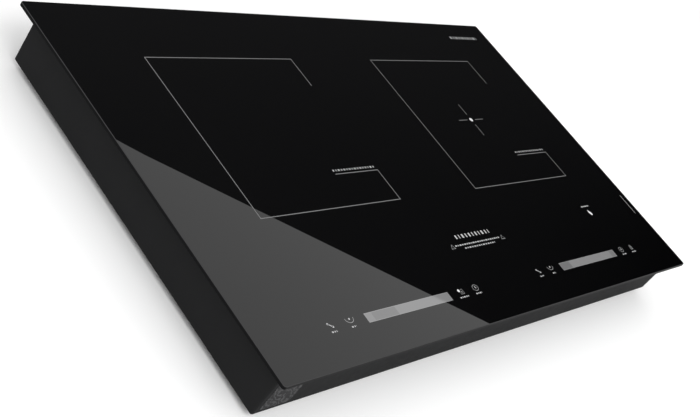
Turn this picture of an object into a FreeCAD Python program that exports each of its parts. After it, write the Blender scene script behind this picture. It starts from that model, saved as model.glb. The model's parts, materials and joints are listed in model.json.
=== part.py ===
"""Built-in two-zone cooktop: glass top on a sheet-steel tray, induction zone left, radiant zone right.

Millimetres. +X to the user's right, +Y to the back, +Z up. The origin is on the surface that the
rubber feet stand on, under the middle of the glass. Every function makes one sub-part, or one
group of identical pieces, in its place.
"""
import FreeCAD, Part
import math
import os

Vector = FreeCAD.Vector
os.makedirs("parts", exist_ok=True)

# ---------------------------------------------------------------- driving dimensions
GLASS_WIDTH = 730.0
GLASS_DEPTH = 430.0
GLASS_THICK = 4.0
GLASS_CORNER_RADIUS = 3.0
GLASS_TOP_BEVEL = 0.5
GLASS_BOTTOM_BEVEL = 0.4

HOUSING_WIDTH = 704.5
HOUSING_DEPTH = 405.5
HOUSING_HEIGHT = 54.0
HOUSING_EDGE_RADIUS = 2.0
SHEET = 1.0
FLANGE_WIDTH = 9.0

FOOT_HEIGHT = 6.5
FOOT_RADIUS = 9.0
FOOT_X = 320.0
FOOT_Y = 182.0
FOOT_STEM_RADIUS = 2.5
FOOT_HOLE_RADIUS = 2.6

ADHESIVE_THICK = 0.5
ADHESIVE_MARGIN = 1.5
SEAL_THICK = 1.5
SEAL_WIDTH = 6.0
SEAL_INSET = 3.0
SEAL_CORNER_RADIUS = 2.0

ZONE_SPACING = 336.75
ZONE_Y = 43.8
LEFT_ZONE_X = -168.75
RIGHT_ZONE_X = LEFT_ZONE_X + ZONE_SPACING

FAN_X = 305.0
FAN_Y = 132.0
FAN_SIZE = 80.0
FAN_HEIGHT = 25.0
FAN_CORNER_RADIUS = 4.0
FAN_DUCT_WALL = 1.6
FAN_CUP_RADIUS = 16.0
FAN_CUP_HEIGHT = 5.0
FAN_BEARING_RADIUS = 1.55
FAN_SHAFT_RADIUS = 1.5
FAN_BLADES = 7
FAN_BLADE_PITCH = 35.0
FAN_BLADE_THICK = 1.6
FAN_HUB_RADIUS = 16.5

BODY_GAP = 0.3
CUT_PAST = 1.0

# vent slots; each ring under a fan has a radius, a count and a slot length
VENT_WIDTH = 4.0
VENT_PITCH = 9.0
FAN_VENT_RINGS = ((13.0, 8, 7.0), (22.0, 12, 8.5), (31.0, 16, 9.5))
BACK_VENT_COUNT = 14
BACK_VENT_START = 80.0
BACK_VENT_PITCH = 12.0
BACK_VENT_LOW = 22.0
BACK_VENT_HIGH = 48.0

# foil label on the front wall
LABEL_X0 = -346.5
LABEL_Z0 = 11.5
LABEL_WIDTH = 36.0
LABEL_HEIGHT = 36.0
LABEL_THICK = 0.15
LABEL_CORNER = 4.0

# ---------------------------------------------------------------- heights worked out from them
Z_BASE = FOOT_HEIGHT
Z_FLOOR = Z_BASE + SHEET
Z_HOUSING_TOP = Z_BASE + HOUSING_HEIGHT
Z_GLASS_BOTTOM = Z_HOUSING_TOP + ADHESIVE_THICK
Z_GLASS_TOP = Z_GLASS_BOTTOM + GLASS_THICK
Z_UNIT_TOP = Z_GLASS_BOTTOM - BODY_GAP

# posts that carry the sprung coil and heater units
POST_ANGLES = (35.0, 145.0, 270.0)
POST_CIRCLE = 108.0
POST_RADIUS = 5.0
PIN_RADIUS = 2.5
EAR_RADIUS = 7.5
EAR_HOLE_RADIUS = 3.0
SPRING_OUTER = 4.9
SPRING_WIRE = 1.1
SPRING_LENGTH = 20.0
CAP_RADIUS = 4.6
CAP_THICK = 2.0
CAP_GAP = 0.7

# induction unit, upwards from its plate
COIL_PLATE_Z = 44.5
COIL_PLATE_THICK = 1.5
COIL_PLATE_RADIUS = 93.0
FERRITE_THICK = 4.8
FERRITE_COUNT = 8
CARRIER_Z = COIL_PLATE_Z + COIL_PLATE_THICK + FERRITE_THICK
CARRIER_THICK = 2.0
CARRIER_RADIUS = 92.0
CARRIER_WALL = 1.6
MICA_THICK = 0.4
CARRIER_TOP = Z_UNIT_TOP - MICA_THICK
COIL_INNER = 24.0
COIL_TURNS = 20
COIL_PITCH = 3.2
CARRIER_BORE = 16.0

# radiant unit, upwards from its bracket
HEATER_PLATE_Z = 35.0
HEATER_PLATE_THICK = 1.5
DISH_RADIUS = 99.0
DISH_WALL = 0.8
DISH_TOP = 58.5
INSULATION_RADIUS = 97.5
INSULATION_TOP = 50.0
RING_INNER = 84.0
RIBBON_RADII = (18.0, 28.0, 38.0, 48.0, 58.0, 68.0, 78.0)
RIBBON_THICK = 0.8
RIBBON_HEIGHT = 3.0
RIBBON_GAP = 4.0
LIMITER_GAP = 2.0
LIMITER_LENGTH = 26.0
LIMITER_TAB = 7.0
LIMITER_TAB_Z = 51.0
ROD_RADIUS = 2.5
ROD_Z = 57.0
NOTCH_HALF = 3.6
NOTCH_Z = 53.5

# circuit boards
BOARD_THICK = 1.6
BOARD_Z = 15.0
BOARD_TOP = BOARD_Z + BOARD_THICK
BOARD_X_OUT = 322.0
BOARD_X_IN = 181.0
BOARD_Y_FRONT = -100.0
BOARD_Y_BACK = 70.0
BOARD_HOLE_INSET = 6.0
STANDOFF_RADIUS = 4.0

# small screws up through the floor
SCREW_RADIUS = 1.5
SCREW_HOLE_RADIUS = 1.65
SCREW_HEAD_RADIUS = 2.9
SCREW_HEAD_HEIGHT = 1.6
SCREW_REACH = 4.0
SCREW_HOLE_DEPTH = 5.0

# touch controls
TOUCH_X_IN = 48.0
TOUCH_X_OUT = 290.0
TOUCH_Y_FRONT = -197.0
TOUCH_Y_BACK = -149.0
TOUCH_TRAY_Z = 51.0
TOUCH_TRAY_WALL = 1.5
TOUCH_LEG_RADIUS = 4.0
TOUCH_BOARD_Z = 54.0
TOUCH_KEY_Y = -174.0
TOUCH_KEYS = (60.0, 85.5, 250.0, 275.0)
KEY_SPRING_OUTER = 4.5
KEY_SPRING_INNER = 3.7
BAR_X_IN = 105.2
BAR_X_OUT = 231.5
BAR_Y_FRONT = -181.0
BAR_Y_BACK = -170.5

# swing-out fixing brackets
BRACKET_X = 334.0
BRACKET_Y = 70.0
BRACKET_LENGTH = 50.0
BRACKET_WIDTH = 18.0
BRACKET_THICK = 1.6
BRACKET_Z = Z_BASE - 0.4 - BRACKET_THICK
BRACKET_SCREW_RADIUS = 2.4
BRACKET_BORE = 2.48
WORKTOP_SCREW_HOLE = 2.25
BRACKET_HEAD_RADIUS = 5.0
BRACKET_HEAD_HEIGHT = 2.4

# mains inlet in the middle of the back wall
GLAND_Z = 34.0
GLAND_BORE = 5.0
GLAND_BODY = 8.0
GLAND_SHOULDER = 16.2
GLAND_FLANGE = 12.5
GLAND_FLANGE_THICK = 2.4
GLAND_NOSE = 4.0
GLAND_INSIDE = 13.0
GLAND_NUT_RADIUS = 14.0
GLAND_NUT_THICK = 6.0

# mains terminals and earth stud
TERMINAL_Y = 158.0
TERMINAL_WAYS = 3
TERMINAL_PITCH = 13.0
TERMINAL_SCREW_RADIUS = 2.3
EARTH_X = 51.0
EARTH_Y = TERMINAL_Y + 3.0

# heat sink and the packages under it
PACKAGE_TOP = 5.0
SINK_X0 = -318.0
SINK_X1 = -244.0
SINK_Y0 = -12.0
SINK_Y1 = 56.0
SINK_BASE = 4.0
SINK_FIN = 1.6
SINK_FINS = 14
SINK_FIN_HEIGHT = 13.0

# box-shaped capacitors: low x, middle y, width, depth and height; round ones: middle x and y
FILM_CAPACITORS = (
    (-236.0, 50.0, 32.0, 16.0, 22.0),
    (-236.0, 28.0, 32.0, 16.0, 22.0),
    (-236.0, 8.0, 26.0, 16.0, 18.0),
    (288.0, 40.0, 26.0, 14.0, 15.0),
    (288.0, 20.0, 26.0, 14.0, 15.0),
)
ROUND_CAPACITORS = ((-312.0, -50.0), (-299.0, -50.0), (-286.0, -50.0), (206.0, -14.0), (220.0, -14.0))
ROUND_CAPACITOR_RADIUS = 5.0
ROUND_CAPACITOR_HEIGHT = 15.0

# header sockets on the boards: middle x and y, and width
CONNECTORS = (
    (-245.0, -90.0, 14.0),
    (-262.0, 62.0, 10.0),
    (-196.0, 62.0, 10.0),
    (245.0, -90.0, 14.0),
    (262.0, 62.0, 10.0),
    (230.0, 62.0, 10.0),
)
CONNECTOR_HEIGHT = 8.0
RIBBON_CABLE_WIDTH = 12.0
RIBBON_CABLE_THICK = 0.8

# wires, by radius
COIL_LEAD_RADIUS = 1.7
HEATER_LEAD_RADIUS = 1.4
MAINS_LEAD_RADIUS = 1.3

UP = Vector(0, 0, 1)
BACK = Vector(0, 1, 0)
SIDES = (-1.0, 1.0)


# ---------------------------------------------------------------- shape helpers
def block(x0, x1, y0, y1, z0, z1):
    """A box between two corners, given in any order along each axis."""
    low = Vector(min(x0, x1), min(y0, y1), min(z0, z1))
    return Part.makeBox(abs(x1 - x0), abs(y1 - y0), abs(z1 - z0), low)


def rod(x, y, z0, z1, radius):
    """An upright cylinder."""
    return Part.makeCylinder(radius, z1 - z0, Vector(x, y, z0), UP)


def tube(x, y, z0, z1, outer, inner):
    """An upright hollow cylinder."""
    return rod(x, y, z0, z1, outer).cut(rod(x, y, z0, z1, inner))


def hole(x, y, z0, z1, radius):
    """A cutter for an upright hole, running a little past both heights."""
    return rod(x, y, z0 - CUT_PAST, z1 + CUT_PAST, radius)


def screw_hole(x, y):
    """A cutter for the blind hole that one of the floor's screws goes into."""
    return rod(x, y, Z_FLOOR, Z_FLOOR + SCREW_HOLE_DEPTH, SCREW_HOLE_RADIUS)


def cross_recess(x, y, z, reach, width, depth):
    """A cutter for a cross-shaped driver recess that opens downwards at z."""
    half = width / 2
    across = block(x - reach, x + reach, y - half, y + half, z, z + depth)
    along = block(x - half, x + half, y - reach, y + reach, z, z + depth)
    return across.fuse(along)


def hexagon(x, y, z, radius, height):
    """An upright hexagonal prism, such as a nut."""
    corners = [Vector(*polar(x, y, radius, 60.0 * i), z) for i in range(7)]
    return Part.Face(Part.makePolygon(corners)).extrude(Vector(0, 0, height))


def polar(x, y, radius, degrees):
    """The point at that radius and angle round (x, y)."""
    angle = math.radians(degrees)
    return x + radius * math.cos(angle), y + radius * math.sin(angle)


def turned(shape, x, y, degrees):
    """A copy of the shape, turned about the upright line through (x, y)."""
    copy = shape.copy()
    copy.rotate(Vector(x, y, 0), UP, degrees)
    return copy


def fused(first, others):
    """One solid from touching pieces, with its flat faces merged."""
    return first.multiFuse(others).removeSplitter()


def rounded_block(x0, x1, y0, y1, z0, z1, radius):
    """A box with rounded upright edges."""
    solid = block(x0, x1, y0, y1, z0, z1)
    upright = [e for e in solid.Edges if abs(e.Vertexes[0].Z - e.Vertexes[1].Z) > (z1 - z0) / 2]
    return solid.makeFillet(radius, upright)


def frame_ring(half_x, half_y, width, z0, z1, radius):
    """A rectangular ring with rounded outer corners."""
    outer = rounded_block(-half_x, half_x, -half_y, half_y, z0, z1, radius)
    inner_x = half_x - width
    inner_y = half_y - width
    return outer.cut(block(-inner_x, inner_x, -inner_y, inner_y, z0, z1))


def slot(x, y, length, width, degrees, z0, z1):
    """A slot with round ends, as a solid to cut with."""
    half = (length - width) / 2
    radius = width / 2
    middle = block(x - half, x + half, y - radius, y + radius, z0, z1)
    ends = [rod(x - half, y, z0, z1, radius), rod(x + half, y, z0, z1, radius)]
    return turned(middle.multiFuse(ends), x, y, degrees)


def edges_at_height(shape, z):
    """The edges that lie wholly at that height."""
    return [e for e in shape.Edges if abs(e.BoundBox.ZMin - z) < 1e-4 and abs(e.BoundBox.ZMax - z) < 1e-4]


def lead(points, radius):
    """A wire along straight runs joined by tangent arcs as large as the runs allow."""
    corners = [Vector(*p) for p in points]
    edges = []
    start = corners[0]
    for before, corner, after in zip(corners, corners[1:], corners[2:]):
        into = (before - corner).normalize()
        out = (after - corner).normalize()
        half_turn = (math.pi - into.getAngle(out)) / 2
        reach = 0.45 * min((before - corner).Length, (after - corner).Length)
        bend = reach / math.tan(half_turn)
        first = corner + into * reach
        last = corner + out * reach
        bisector = (into + out).normalize()
        middle = corner + bisector * (bend / math.cos(half_turn) - bend)
        edges.append(Part.LineSegment(start, first).toShape())
        edges.append(Part.Arc(first, middle, last).toShape())
        start = last
    edges.append(Part.LineSegment(start, corners[-1]).toShape())
    section = Part.Wire([Part.makeCircle(radius, corners[0], corners[1] - corners[0])])
    return Part.Wire(edges).makePipeShell([section], True, True)


def save(name, shape):
    """Writes one sub-part, and says so if its solids are not sound."""
    if not shape.isValid():
        print("not valid:", name)
    shape.exportStep(f"parts/{name}.step")


# ---------------------------------------------------------------- glass, glue and rim tape
def glass_top():
    """The glass-ceramic plate with rounded corners and a ground top edge."""
    half_x = GLASS_WIDTH / 2
    half_y = GLASS_DEPTH / 2
    plate = rounded_block(-half_x, half_x, -half_y, half_y, Z_GLASS_BOTTOM, Z_GLASS_TOP, GLASS_CORNER_RADIUS)
    plate = plate.makeChamfer(GLASS_TOP_BEVEL, edges_at_height(plate, Z_GLASS_TOP))
    return plate.makeChamfer(GLASS_BOTTOM_BEVEL, edges_at_height(plate, Z_GLASS_BOTTOM))


def glass_adhesive():
    """The silicone bead between the tray's flange and the glass."""
    half_x = HOUSING_WIDTH / 2 - ADHESIVE_MARGIN
    half_y = HOUSING_DEPTH / 2 - ADHESIVE_MARGIN
    width = FLANGE_WIDTH - 2 * ADHESIVE_MARGIN
    return frame_ring(half_x, half_y, width, Z_HOUSING_TOP, Z_GLASS_BOTTOM, HOUSING_EDGE_RADIUS)


def rim_seal():
    """The foam tape that the glass rim lies on in the worktop."""
    half_x = GLASS_WIDTH / 2 - SEAL_INSET
    half_y = GLASS_DEPTH / 2 - SEAL_INSET
    z0 = Z_GLASS_BOTTOM - SEAL_THICK
    return frame_ring(half_x, half_y, SEAL_WIDTH, z0, Z_GLASS_BOTTOM, SEAL_CORNER_RADIUS)


# ---------------------------------------------------------------- housing
def post_places(zone_x):
    """Where the three posts of a zone stand."""
    return [polar(zone_x, ZONE_Y, POST_CIRCLE, angle) for angle in POST_ANGLES]


def board_hole_places(side):
    """The four fixing holes of a power board, on the left (-1) or right (+1)."""
    xs = (BOARD_X_IN + BOARD_HOLE_INSET, BOARD_X_OUT - BOARD_HOLE_INSET)
    ys = (BOARD_Y_FRONT + BOARD_HOLE_INSET, BOARD_Y_BACK - BOARD_HOLE_INSET)
    return [(side * x, y) for x in xs for y in ys]


def touch_leg_places(side):
    """The legs of a touch-control tray."""
    xs = (TOUCH_X_IN + 6.0, (TOUCH_X_IN + TOUCH_X_OUT) / 2, TOUCH_X_OUT - 6.0)
    ys = (TOUCH_Y_FRONT + 6.0, TOUCH_Y_BACK - 6.0)
    return [(side * x, y) for x in xs for y in ys]


def fan_screw_places(side):
    """The four corner holes of a fan."""
    pitch = FAN_SIZE / 2 - 4.3
    return [(side * FAN_X + sx * pitch, FAN_Y + sy * pitch) for sx in SIDES for sy in SIDES]


def base_screw_places():
    """Every screw that comes up through the floor of the tray."""
    places = []
    for side in SIDES:
        places += board_hole_places(side)
        places += touch_leg_places(side)
        places += fan_screw_places(side)
    places += post_places(LEFT_ZONE_X)
    places += post_places(RIGHT_ZONE_X)
    return places


def floor_slot(x, y, length, degrees):
    """A cutter for one vent slot in the floor."""
    return slot(x, y, length, VENT_WIDTH, degrees, Z_BASE - CUT_PAST, Z_FLOOR + CUT_PAST)


def fan_vent_cutters(side):
    """Three rings of short slots in the floor under a fan."""
    cutters = []
    for radius, count, length in FAN_VENT_RINGS:
        for i in range(count):
            angle = 360.0 * i / count
            x, y = polar(side * FAN_X, FAN_Y, radius, angle)
            cutters.append(floor_slot(x, y, length, angle + 90.0))
    return cutters


def floor_vent_cutters():
    """Outlet slots in the floor: two blocks in the middle and a row along the front."""
    cutters = []
    for side in SIDES:
        for i in range(10):
            cutters.append(floor_slot(side * 30.0, -60.0 + VENT_PITCH * i, 34.0, 0.0))
        for i in range(12):
            cutters.append(floor_slot(side * (120.0 + VENT_PITCH * i), -124.0, 24.0, 90.0))
    return cutters


def back_vent_cutters():
    """Outlet slots in the back wall, both sides of the mains inlet."""
    y0 = HOUSING_DEPTH / 2 - SHEET - CUT_PAST
    y1 = HOUSING_DEPTH / 2 + CUT_PAST
    half = VENT_WIDTH / 2
    cutters = []
    for side in SIDES:
        for i in range(BACK_VENT_COUNT):
            x = side * (BACK_VENT_START + BACK_VENT_PITCH * i)
            cutters.append(block(x - half, x + half, y0, y1, BACK_VENT_LOW, BACK_VENT_HIGH))
    return cutters


def blank_label():
    """A plain foil label on the front wall, near its left end."""
    y1 = -HOUSING_DEPTH / 2
    y0 = y1 - LABEL_THICK
    plate = block(LABEL_X0, LABEL_X0 + LABEL_WIDTH, y0, y1, LABEL_Z0, LABEL_Z0 + LABEL_HEIGHT)
    across = [e for e in plate.Edges if abs(e.Vertexes[0].Y - e.Vertexes[1].Y) > LABEL_THICK / 2]
    return plate.makeFillet(LABEL_CORNER, across)


def housing():
    """The folded tray: floor with vents, four walls and a flange under the glass."""
    half_x = HOUSING_WIDTH / 2
    half_y = HOUSING_DEPTH / 2
    tray = block(-half_x, half_x, -half_y, half_y, Z_BASE, Z_HOUSING_TOP)
    soft = [e for e in tray.Edges if abs(e.CenterOfMass.z - Z_HOUSING_TOP) > 1e-3]
    tray = tray.makeFillet(HOUSING_EDGE_RADIUS, soft)
    in_x = half_x - SHEET
    in_y = half_y - SHEET
    cavity = rounded_block(-in_x, in_x, -in_y, in_y, Z_FLOOR, Z_HOUSING_TOP - SHEET, SHEET)
    mouth_x = half_x - FLANGE_WIDTH
    mouth_y = half_y - FLANGE_WIDTH
    mouth = block(-mouth_x, mouth_x, -mouth_y, mouth_y, Z_FLOOR, Z_GLASS_BOTTOM)
    cutters = [cavity, mouth]
    for side in SIDES:
        cutters += fan_vent_cutters(side)
    cutters += floor_vent_cutters()
    cutters += back_vent_cutters()
    for x, y in base_screw_places():
        cutters.append(hole(x, y, Z_BASE, Z_FLOOR, SCREW_HOLE_RADIUS))
    for sx in SIDES:
        for sy in SIDES:
            cutters.append(hole(sx * BRACKET_X, sy * BRACKET_Y, Z_BASE, Z_FLOOR, BRACKET_BORE))
            cutters.append(hole(sx * FOOT_X, sy * FOOT_Y, Z_BASE, Z_FLOOR, FOOT_HOLE_RADIUS))
    half = GLAND_SHOULDER / 2 + 0.1
    y0 = half_y - SHEET - CUT_PAST
    cutters.append(block(-half, half, y0, half_y + CUT_PAST, GLAND_Z - half, GLAND_Z + half))
    return tray.cut(Part.makeCompound(cutters))


def rubber_feet():
    """Four round feet, each with a barbed stem through the floor."""
    feet = []
    for sx in SIDES:
        for sy in SIDES:
            x = sx * FOOT_X
            y = sy * FOOT_Y
            pad = Part.makeCone(FOOT_RADIUS - 1.0, FOOT_RADIUS, FOOT_HEIGHT, Vector(x, y, 0), UP)
            stem = rod(x, y, FOOT_HEIGHT, Z_FLOOR, FOOT_STEM_RADIUS)
            barb = Part.makeCone(FOOT_STEM_RADIUS + 1.1, 1.5, 3.0, Vector(x, y, Z_FLOOR), UP)
            feet.append(fused(pad, [stem, barb]))
    return Part.makeCompound(feet)


def base_screws():
    """Pan-head screws that hold posts, boards, trays and fans down on the floor."""
    screws = []
    for x, y in base_screw_places():
        z_head = Z_BASE - SCREW_HEAD_HEIGHT
        place = Vector(x, y, z_head)
        head = Part.makeCone(SCREW_HEAD_RADIUS - 0.6, SCREW_HEAD_RADIUS, SCREW_HEAD_HEIGHT, place, UP)
        shank = rod(x, y, Z_BASE, Z_FLOOR + SCREW_REACH, SCREW_RADIUS)
        recess = cross_recess(x, y, z_head, 1.5, 0.7, SCREW_HEAD_HEIGHT / 2)
        screws.append(fused(head, [shank]).cut(recess))
    return Part.makeCompound(screws)


# ---------------------------------------------------------------- fixing brackets and mains inlet
def fixing_bracket(sx, sy):
    """A flat steel arm folded in under the floor, turning on its own screw."""
    x = sx * BRACKET_X
    y = sy * BRACKET_Y
    tip_y = y - sy * BRACKET_LENGTH
    half = BRACKET_WIDTH / 2
    z1 = BRACKET_Z + BRACKET_THICK
    arm = block(x - half, x + half, y, tip_y, BRACKET_Z, z1)
    ends = [rod(x, y, BRACKET_Z, z1, half), rod(x, tip_y, BRACKET_Z, z1, half)]
    arm = fused(arm, ends)
    pivot_hole = hole(x, y, BRACKET_Z, z1, BRACKET_BORE)
    tip_hole = hole(x, tip_y, BRACKET_Z, z1, WORKTOP_SCREW_HOLE)
    return arm.cut(pivot_hole).cut(tip_hole)


def bracket_screws():
    """The four pivot screws: domed head below the arm, shank up through the floor, nut above it."""
    screws = []
    for sx in SIDES:
        for sy in SIDES:
            x = sx * BRACKET_X
            y = sy * BRACKET_Y
            z_top = BRACKET_Z - 0.1
            z_low = z_top - BRACKET_HEAD_HEIGHT
            rim = BRACKET_HEAD_RADIUS
            head = Part.makeCone(rim - 1.4, rim, BRACKET_HEAD_HEIGHT, Vector(x, y, z_low), UP)
            shank = rod(x, y, z_top, Z_FLOOR + 5.0, BRACKET_SCREW_RADIUS)
            nut = hexagon(x, y, Z_FLOOR, 4.6, 4.0)
            recess = cross_recess(x, y, z_low, rim / 2, 1.0, BRACKET_HEAD_HEIGHT / 2)
            screws.append(fused(head, [shank, nut]).cut(recess))
    return Part.makeCompound(screws)


def cable_gland():
    """The moulded bushing in the back wall: square in the wall so that it can't turn, with an open bore."""
    y_wall = HOUSING_DEPTH / 2
    y_in = y_wall - GLAND_INSIDE
    y_face = y_wall + GLAND_FLANGE_THICK
    half = GLAND_SHOULDER / 2
    flange = Part.makeCylinder(GLAND_FLANGE, GLAND_FLANGE_THICK, Vector(0, y_wall, GLAND_Z), BACK)
    nose = Part.makeCone(GLAND_BODY + 0.6, GLAND_BODY - 0.8, GLAND_NOSE, Vector(0, y_face, GLAND_Z), BACK)
    shoulder = block(-half, half, y_wall - SHEET, y_wall, GLAND_Z - half, GLAND_Z + half)
    neck = Part.makeCylinder(GLAND_BODY, GLAND_INSIDE, Vector(0, y_in, GLAND_Z), BACK)
    bore_length = GLAND_INSIDE + GLAND_FLANGE_THICK + GLAND_NOSE + 2 * CUT_PAST
    bore = Part.makeCylinder(GLAND_BORE, bore_length, Vector(0, y_in - CUT_PAST, GLAND_Z), BACK)
    return fused(flange, [nose, shoulder, neck]).cut(bore)


def gland_nut():
    """The hexagonal nut that clamps the bushing from inside."""
    y_wall = HOUSING_DEPTH / 2 - SHEET
    y_in = y_wall - GLAND_NUT_THICK
    corners = []
    for i in range(7):
        x, z = polar(0.0, GLAND_Z, GLAND_NUT_RADIUS, 60.0 * i)
        corners.append(Vector(x, y_in, z))
    nut = Part.Face(Part.makePolygon(corners)).extrude(Vector(0, GLAND_NUT_THICK, 0))
    start = Vector(0, y_in - CUT_PAST, GLAND_Z)
    thread = Part.makeCylinder(GLAND_BODY + 0.05, GLAND_NUT_THICK + 2 * CUT_PAST, start, BACK)
    return nut.cut(thread)


def terminal_places():
    """The ways of the mains terminal block, from left to right."""
    start = -TERMINAL_PITCH * (TERMINAL_WAYS - 1) / 2
    return [start + TERMINAL_PITCH * i for i in range(TERMINAL_WAYS)]


def terminal_block():
    """The mains terminal block, with wire holes through it and screw wells on top."""
    half = TERMINAL_PITCH * TERMINAL_WAYS / 2 + 4.0
    base = block(-half, half, TERMINAL_Y - 12.0, TERMINAL_Y + 12.0, Z_FLOOR, Z_FLOOR + 5.0)
    pieces = []
    cutters = []
    for x in terminal_places():
        y0 = TERMINAL_Y - 9.0
        y1 = TERMINAL_Y + 9.0
        pieces.append(block(x - 5.4, x + 5.4, y0, y1, Z_FLOOR + 5.0, Z_FLOOR + 19.0))
        for dy in (-4.5, 4.5):
            cutters.append(rod(x, TERMINAL_Y + dy, Z_FLOOR + 13.0, Z_FLOOR + 20.0, 2.6))
        way = Vector(x, TERMINAL_Y - 10.0, Z_FLOOR + 9.0)
        cutters.append(Part.makeCylinder(2.2, 20.0, way, BACK))
    return fused(base, pieces).cut(Part.makeCompound(cutters))


def terminal_screws():
    """The six brass clamping screws in their wells."""
    screws = []
    for x in terminal_places():
        for dy in (-4.5, 4.5):
            y = TERMINAL_Y + dy
            screw = rod(x, y, Z_FLOOR + 13.0, Z_FLOOR + 17.0, TERMINAL_SCREW_RADIUS)
            groove = block(x - 3.0, x + 3.0, y - 0.4, y + 0.4, Z_FLOOR + 16.2, Z_FLOOR + 18.0)
            screws.append(screw.cut(groove))
    return Part.makeCompound(screws)


# ---------------------------------------------------------------- posts, springs and ears
def zone_posts():
    """Three stepped posts in each zone, with a stop cap above the ear of the sprung plate."""
    group = []
    for zone_x, plate_z in ((LEFT_ZONE_X, COIL_PLATE_Z), (RIGHT_ZONE_X, HEATER_PLATE_Z)):
        shoulder = plate_z - SPRING_LENGTH
        cap_z = plate_z + COIL_PLATE_THICK + CAP_GAP
        for x, y in post_places(zone_x):
            foot = rod(x, y, Z_FLOOR, shoulder, POST_RADIUS)
            pin = rod(x, y, shoulder, cap_z, PIN_RADIUS)
            cap = rod(x, y, cap_z, cap_z + CAP_THICK, CAP_RADIUS)
            group.append(fused(foot, [pin, cap]).cut(screw_hole(x, y)))
    return Part.makeCompound(group)


def springs(zone_x, plate_z):
    """The compression springs on the posts, as closed sleeves of their true outer size."""
    shoulder = plate_z - SPRING_LENGTH
    inner = SPRING_OUTER - SPRING_WIRE
    return Part.makeCompound(
        [tube(x, y, shoulder, plate_z, SPRING_OUTER, inner) for x, y in post_places(zone_x)]
    )


def ears(zone_x, z0, z1, inner_radius):
    """Three ears that reach out from a plate to the posts."""
    arms = []
    y0 = ZONE_Y - EAR_RADIUS
    y1 = ZONE_Y + EAR_RADIUS
    for angle in POST_ANGLES:
        x, y = polar(zone_x, ZONE_Y, POST_CIRCLE, angle)
        arm = block(zone_x + inner_radius, zone_x + POST_CIRCLE, y0, y1, z0, z1)
        arms.append(turned(arm, zone_x, ZONE_Y, angle))
        arms.append(rod(x, y, z0, z1, EAR_RADIUS))
    return arms


def ear_holes(zone_x, z0, z1):
    """The holes in the ears, to cut with."""
    return [hole(x, y, z0, z1, EAR_HOLE_RADIUS) for x, y in post_places(zone_x)]


# ---------------------------------------------------------------- induction unit
def coil_plate():
    """The aluminium shield plate under the coil, with ears on the posts."""
    z1 = COIL_PLATE_Z + COIL_PLATE_THICK
    disc = rod(LEFT_ZONE_X, ZONE_Y, COIL_PLATE_Z, z1, COIL_PLATE_RADIUS)
    plate = fused(disc, ears(LEFT_ZONE_X, COIL_PLATE_Z, z1, COIL_PLATE_RADIUS - 10.0))
    cutters = ear_holes(LEFT_ZONE_X, COIL_PLATE_Z, z1)
    cutters.append(hole(LEFT_ZONE_X, ZONE_Y, COIL_PLATE_Z, z1, 14.0))
    for i in range(FERRITE_COUNT):
        turn = 360.0 / FERRITE_COUNT * (i + 0.5)
        x, y = polar(LEFT_ZONE_X, ZONE_Y, 55.0, turn)
        cutters.append(slot(x, y, 40.0, 9.0, turn, COIL_PLATE_Z - CUT_PAST, z1 + CUT_PAST))
    return plate.cut(Part.makeCompound(cutters))


def ferrite_bars():
    """Eight flat ferrite bars set like spokes under the coil."""
    z0 = COIL_PLATE_Z + COIL_PLATE_THICK
    bars = []
    for i in range(FERRITE_COUNT):
        bar = block(
            LEFT_ZONE_X + 28.0, LEFT_ZONE_X + 84.0, ZONE_Y - 7.0, ZONE_Y + 7.0, z0, z0 + FERRITE_THICK
        )
        bars.append(turned(bar, LEFT_ZONE_X, ZONE_Y, 360.0 / FERRITE_COUNT * i))
    return Part.makeCompound(bars)


def coil_carrier():
    """The moulded disc that the coil lies in: outer wall, inner boss and ribs beside the bars."""
    x = LEFT_ZONE_X
    z1 = CARRIER_Z + CARRIER_THICK
    disc = rod(x, ZONE_Y, CARRIER_Z, z1, CARRIER_RADIUS)
    wall = tube(x, ZONE_Y, CARRIER_Z, CARRIER_TOP, CARRIER_RADIUS, CARRIER_RADIUS - CARRIER_WALL)
    boss = rod(x, ZONE_Y, CARRIER_Z, CARRIER_TOP, COIL_INNER - 1.0)
    z0 = COIL_PLATE_Z + COIL_PLATE_THICK
    legs = []
    for i in range(FERRITE_COUNT):
        px, py = polar(x, ZONE_Y, 87.0, 360.0 / FERRITE_COUNT * (i + 0.5))
        legs.append(rod(px, py, z0, CARRIER_Z, 3.5))
    body = fused(disc, [wall, boss] + legs)
    return body.cut(hole(x, ZONE_Y, z0, CARRIER_TOP, CARRIER_BORE))


def induction_coil():
    """The flat spiral of litz wire, as one ring with a rounded ridge for every turn."""
    z0 = CARRIER_Z + CARRIER_THICK
    z1 = z0 + 2.2
    crown = 1.4
    outer = COIL_INNER + COIL_TURNS * COIL_PITCH
    x = LEFT_ZONE_X
    edges = [
        Part.LineSegment(Vector(x + COIL_INNER, ZONE_Y, z1), Vector(x + COIL_INNER, ZONE_Y, z0)).toShape(),
        Part.LineSegment(Vector(x + COIL_INNER, ZONE_Y, z0), Vector(x + outer, ZONE_Y, z0)).toShape(),
        Part.LineSegment(Vector(x + outer, ZONE_Y, z0), Vector(x + outer, ZONE_Y, z1)).toShape(),
    ]
    for i in reversed(range(COIL_TURNS)):
        near = x + COIL_INNER + i * COIL_PITCH
        far = near + COIL_PITCH
        top = Vector((near + far) / 2, ZONE_Y, z1 + crown)
        edges.append(Part.Arc(Vector(far, ZONE_Y, z1), top, Vector(near, ZONE_Y, z1)).toShape())
    profile = Part.Face(Part.Wire(edges))
    return profile.revolve(Vector(x, ZONE_Y, 0), UP, 360)


def mica_sheet():
    """The thin insulating sheet over the coil, with a window for the sensor."""
    return tube(LEFT_ZONE_X, ZONE_Y, CARRIER_TOP, Z_UNIT_TOP, CARRIER_RADIUS, CARRIER_BORE)


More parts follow.
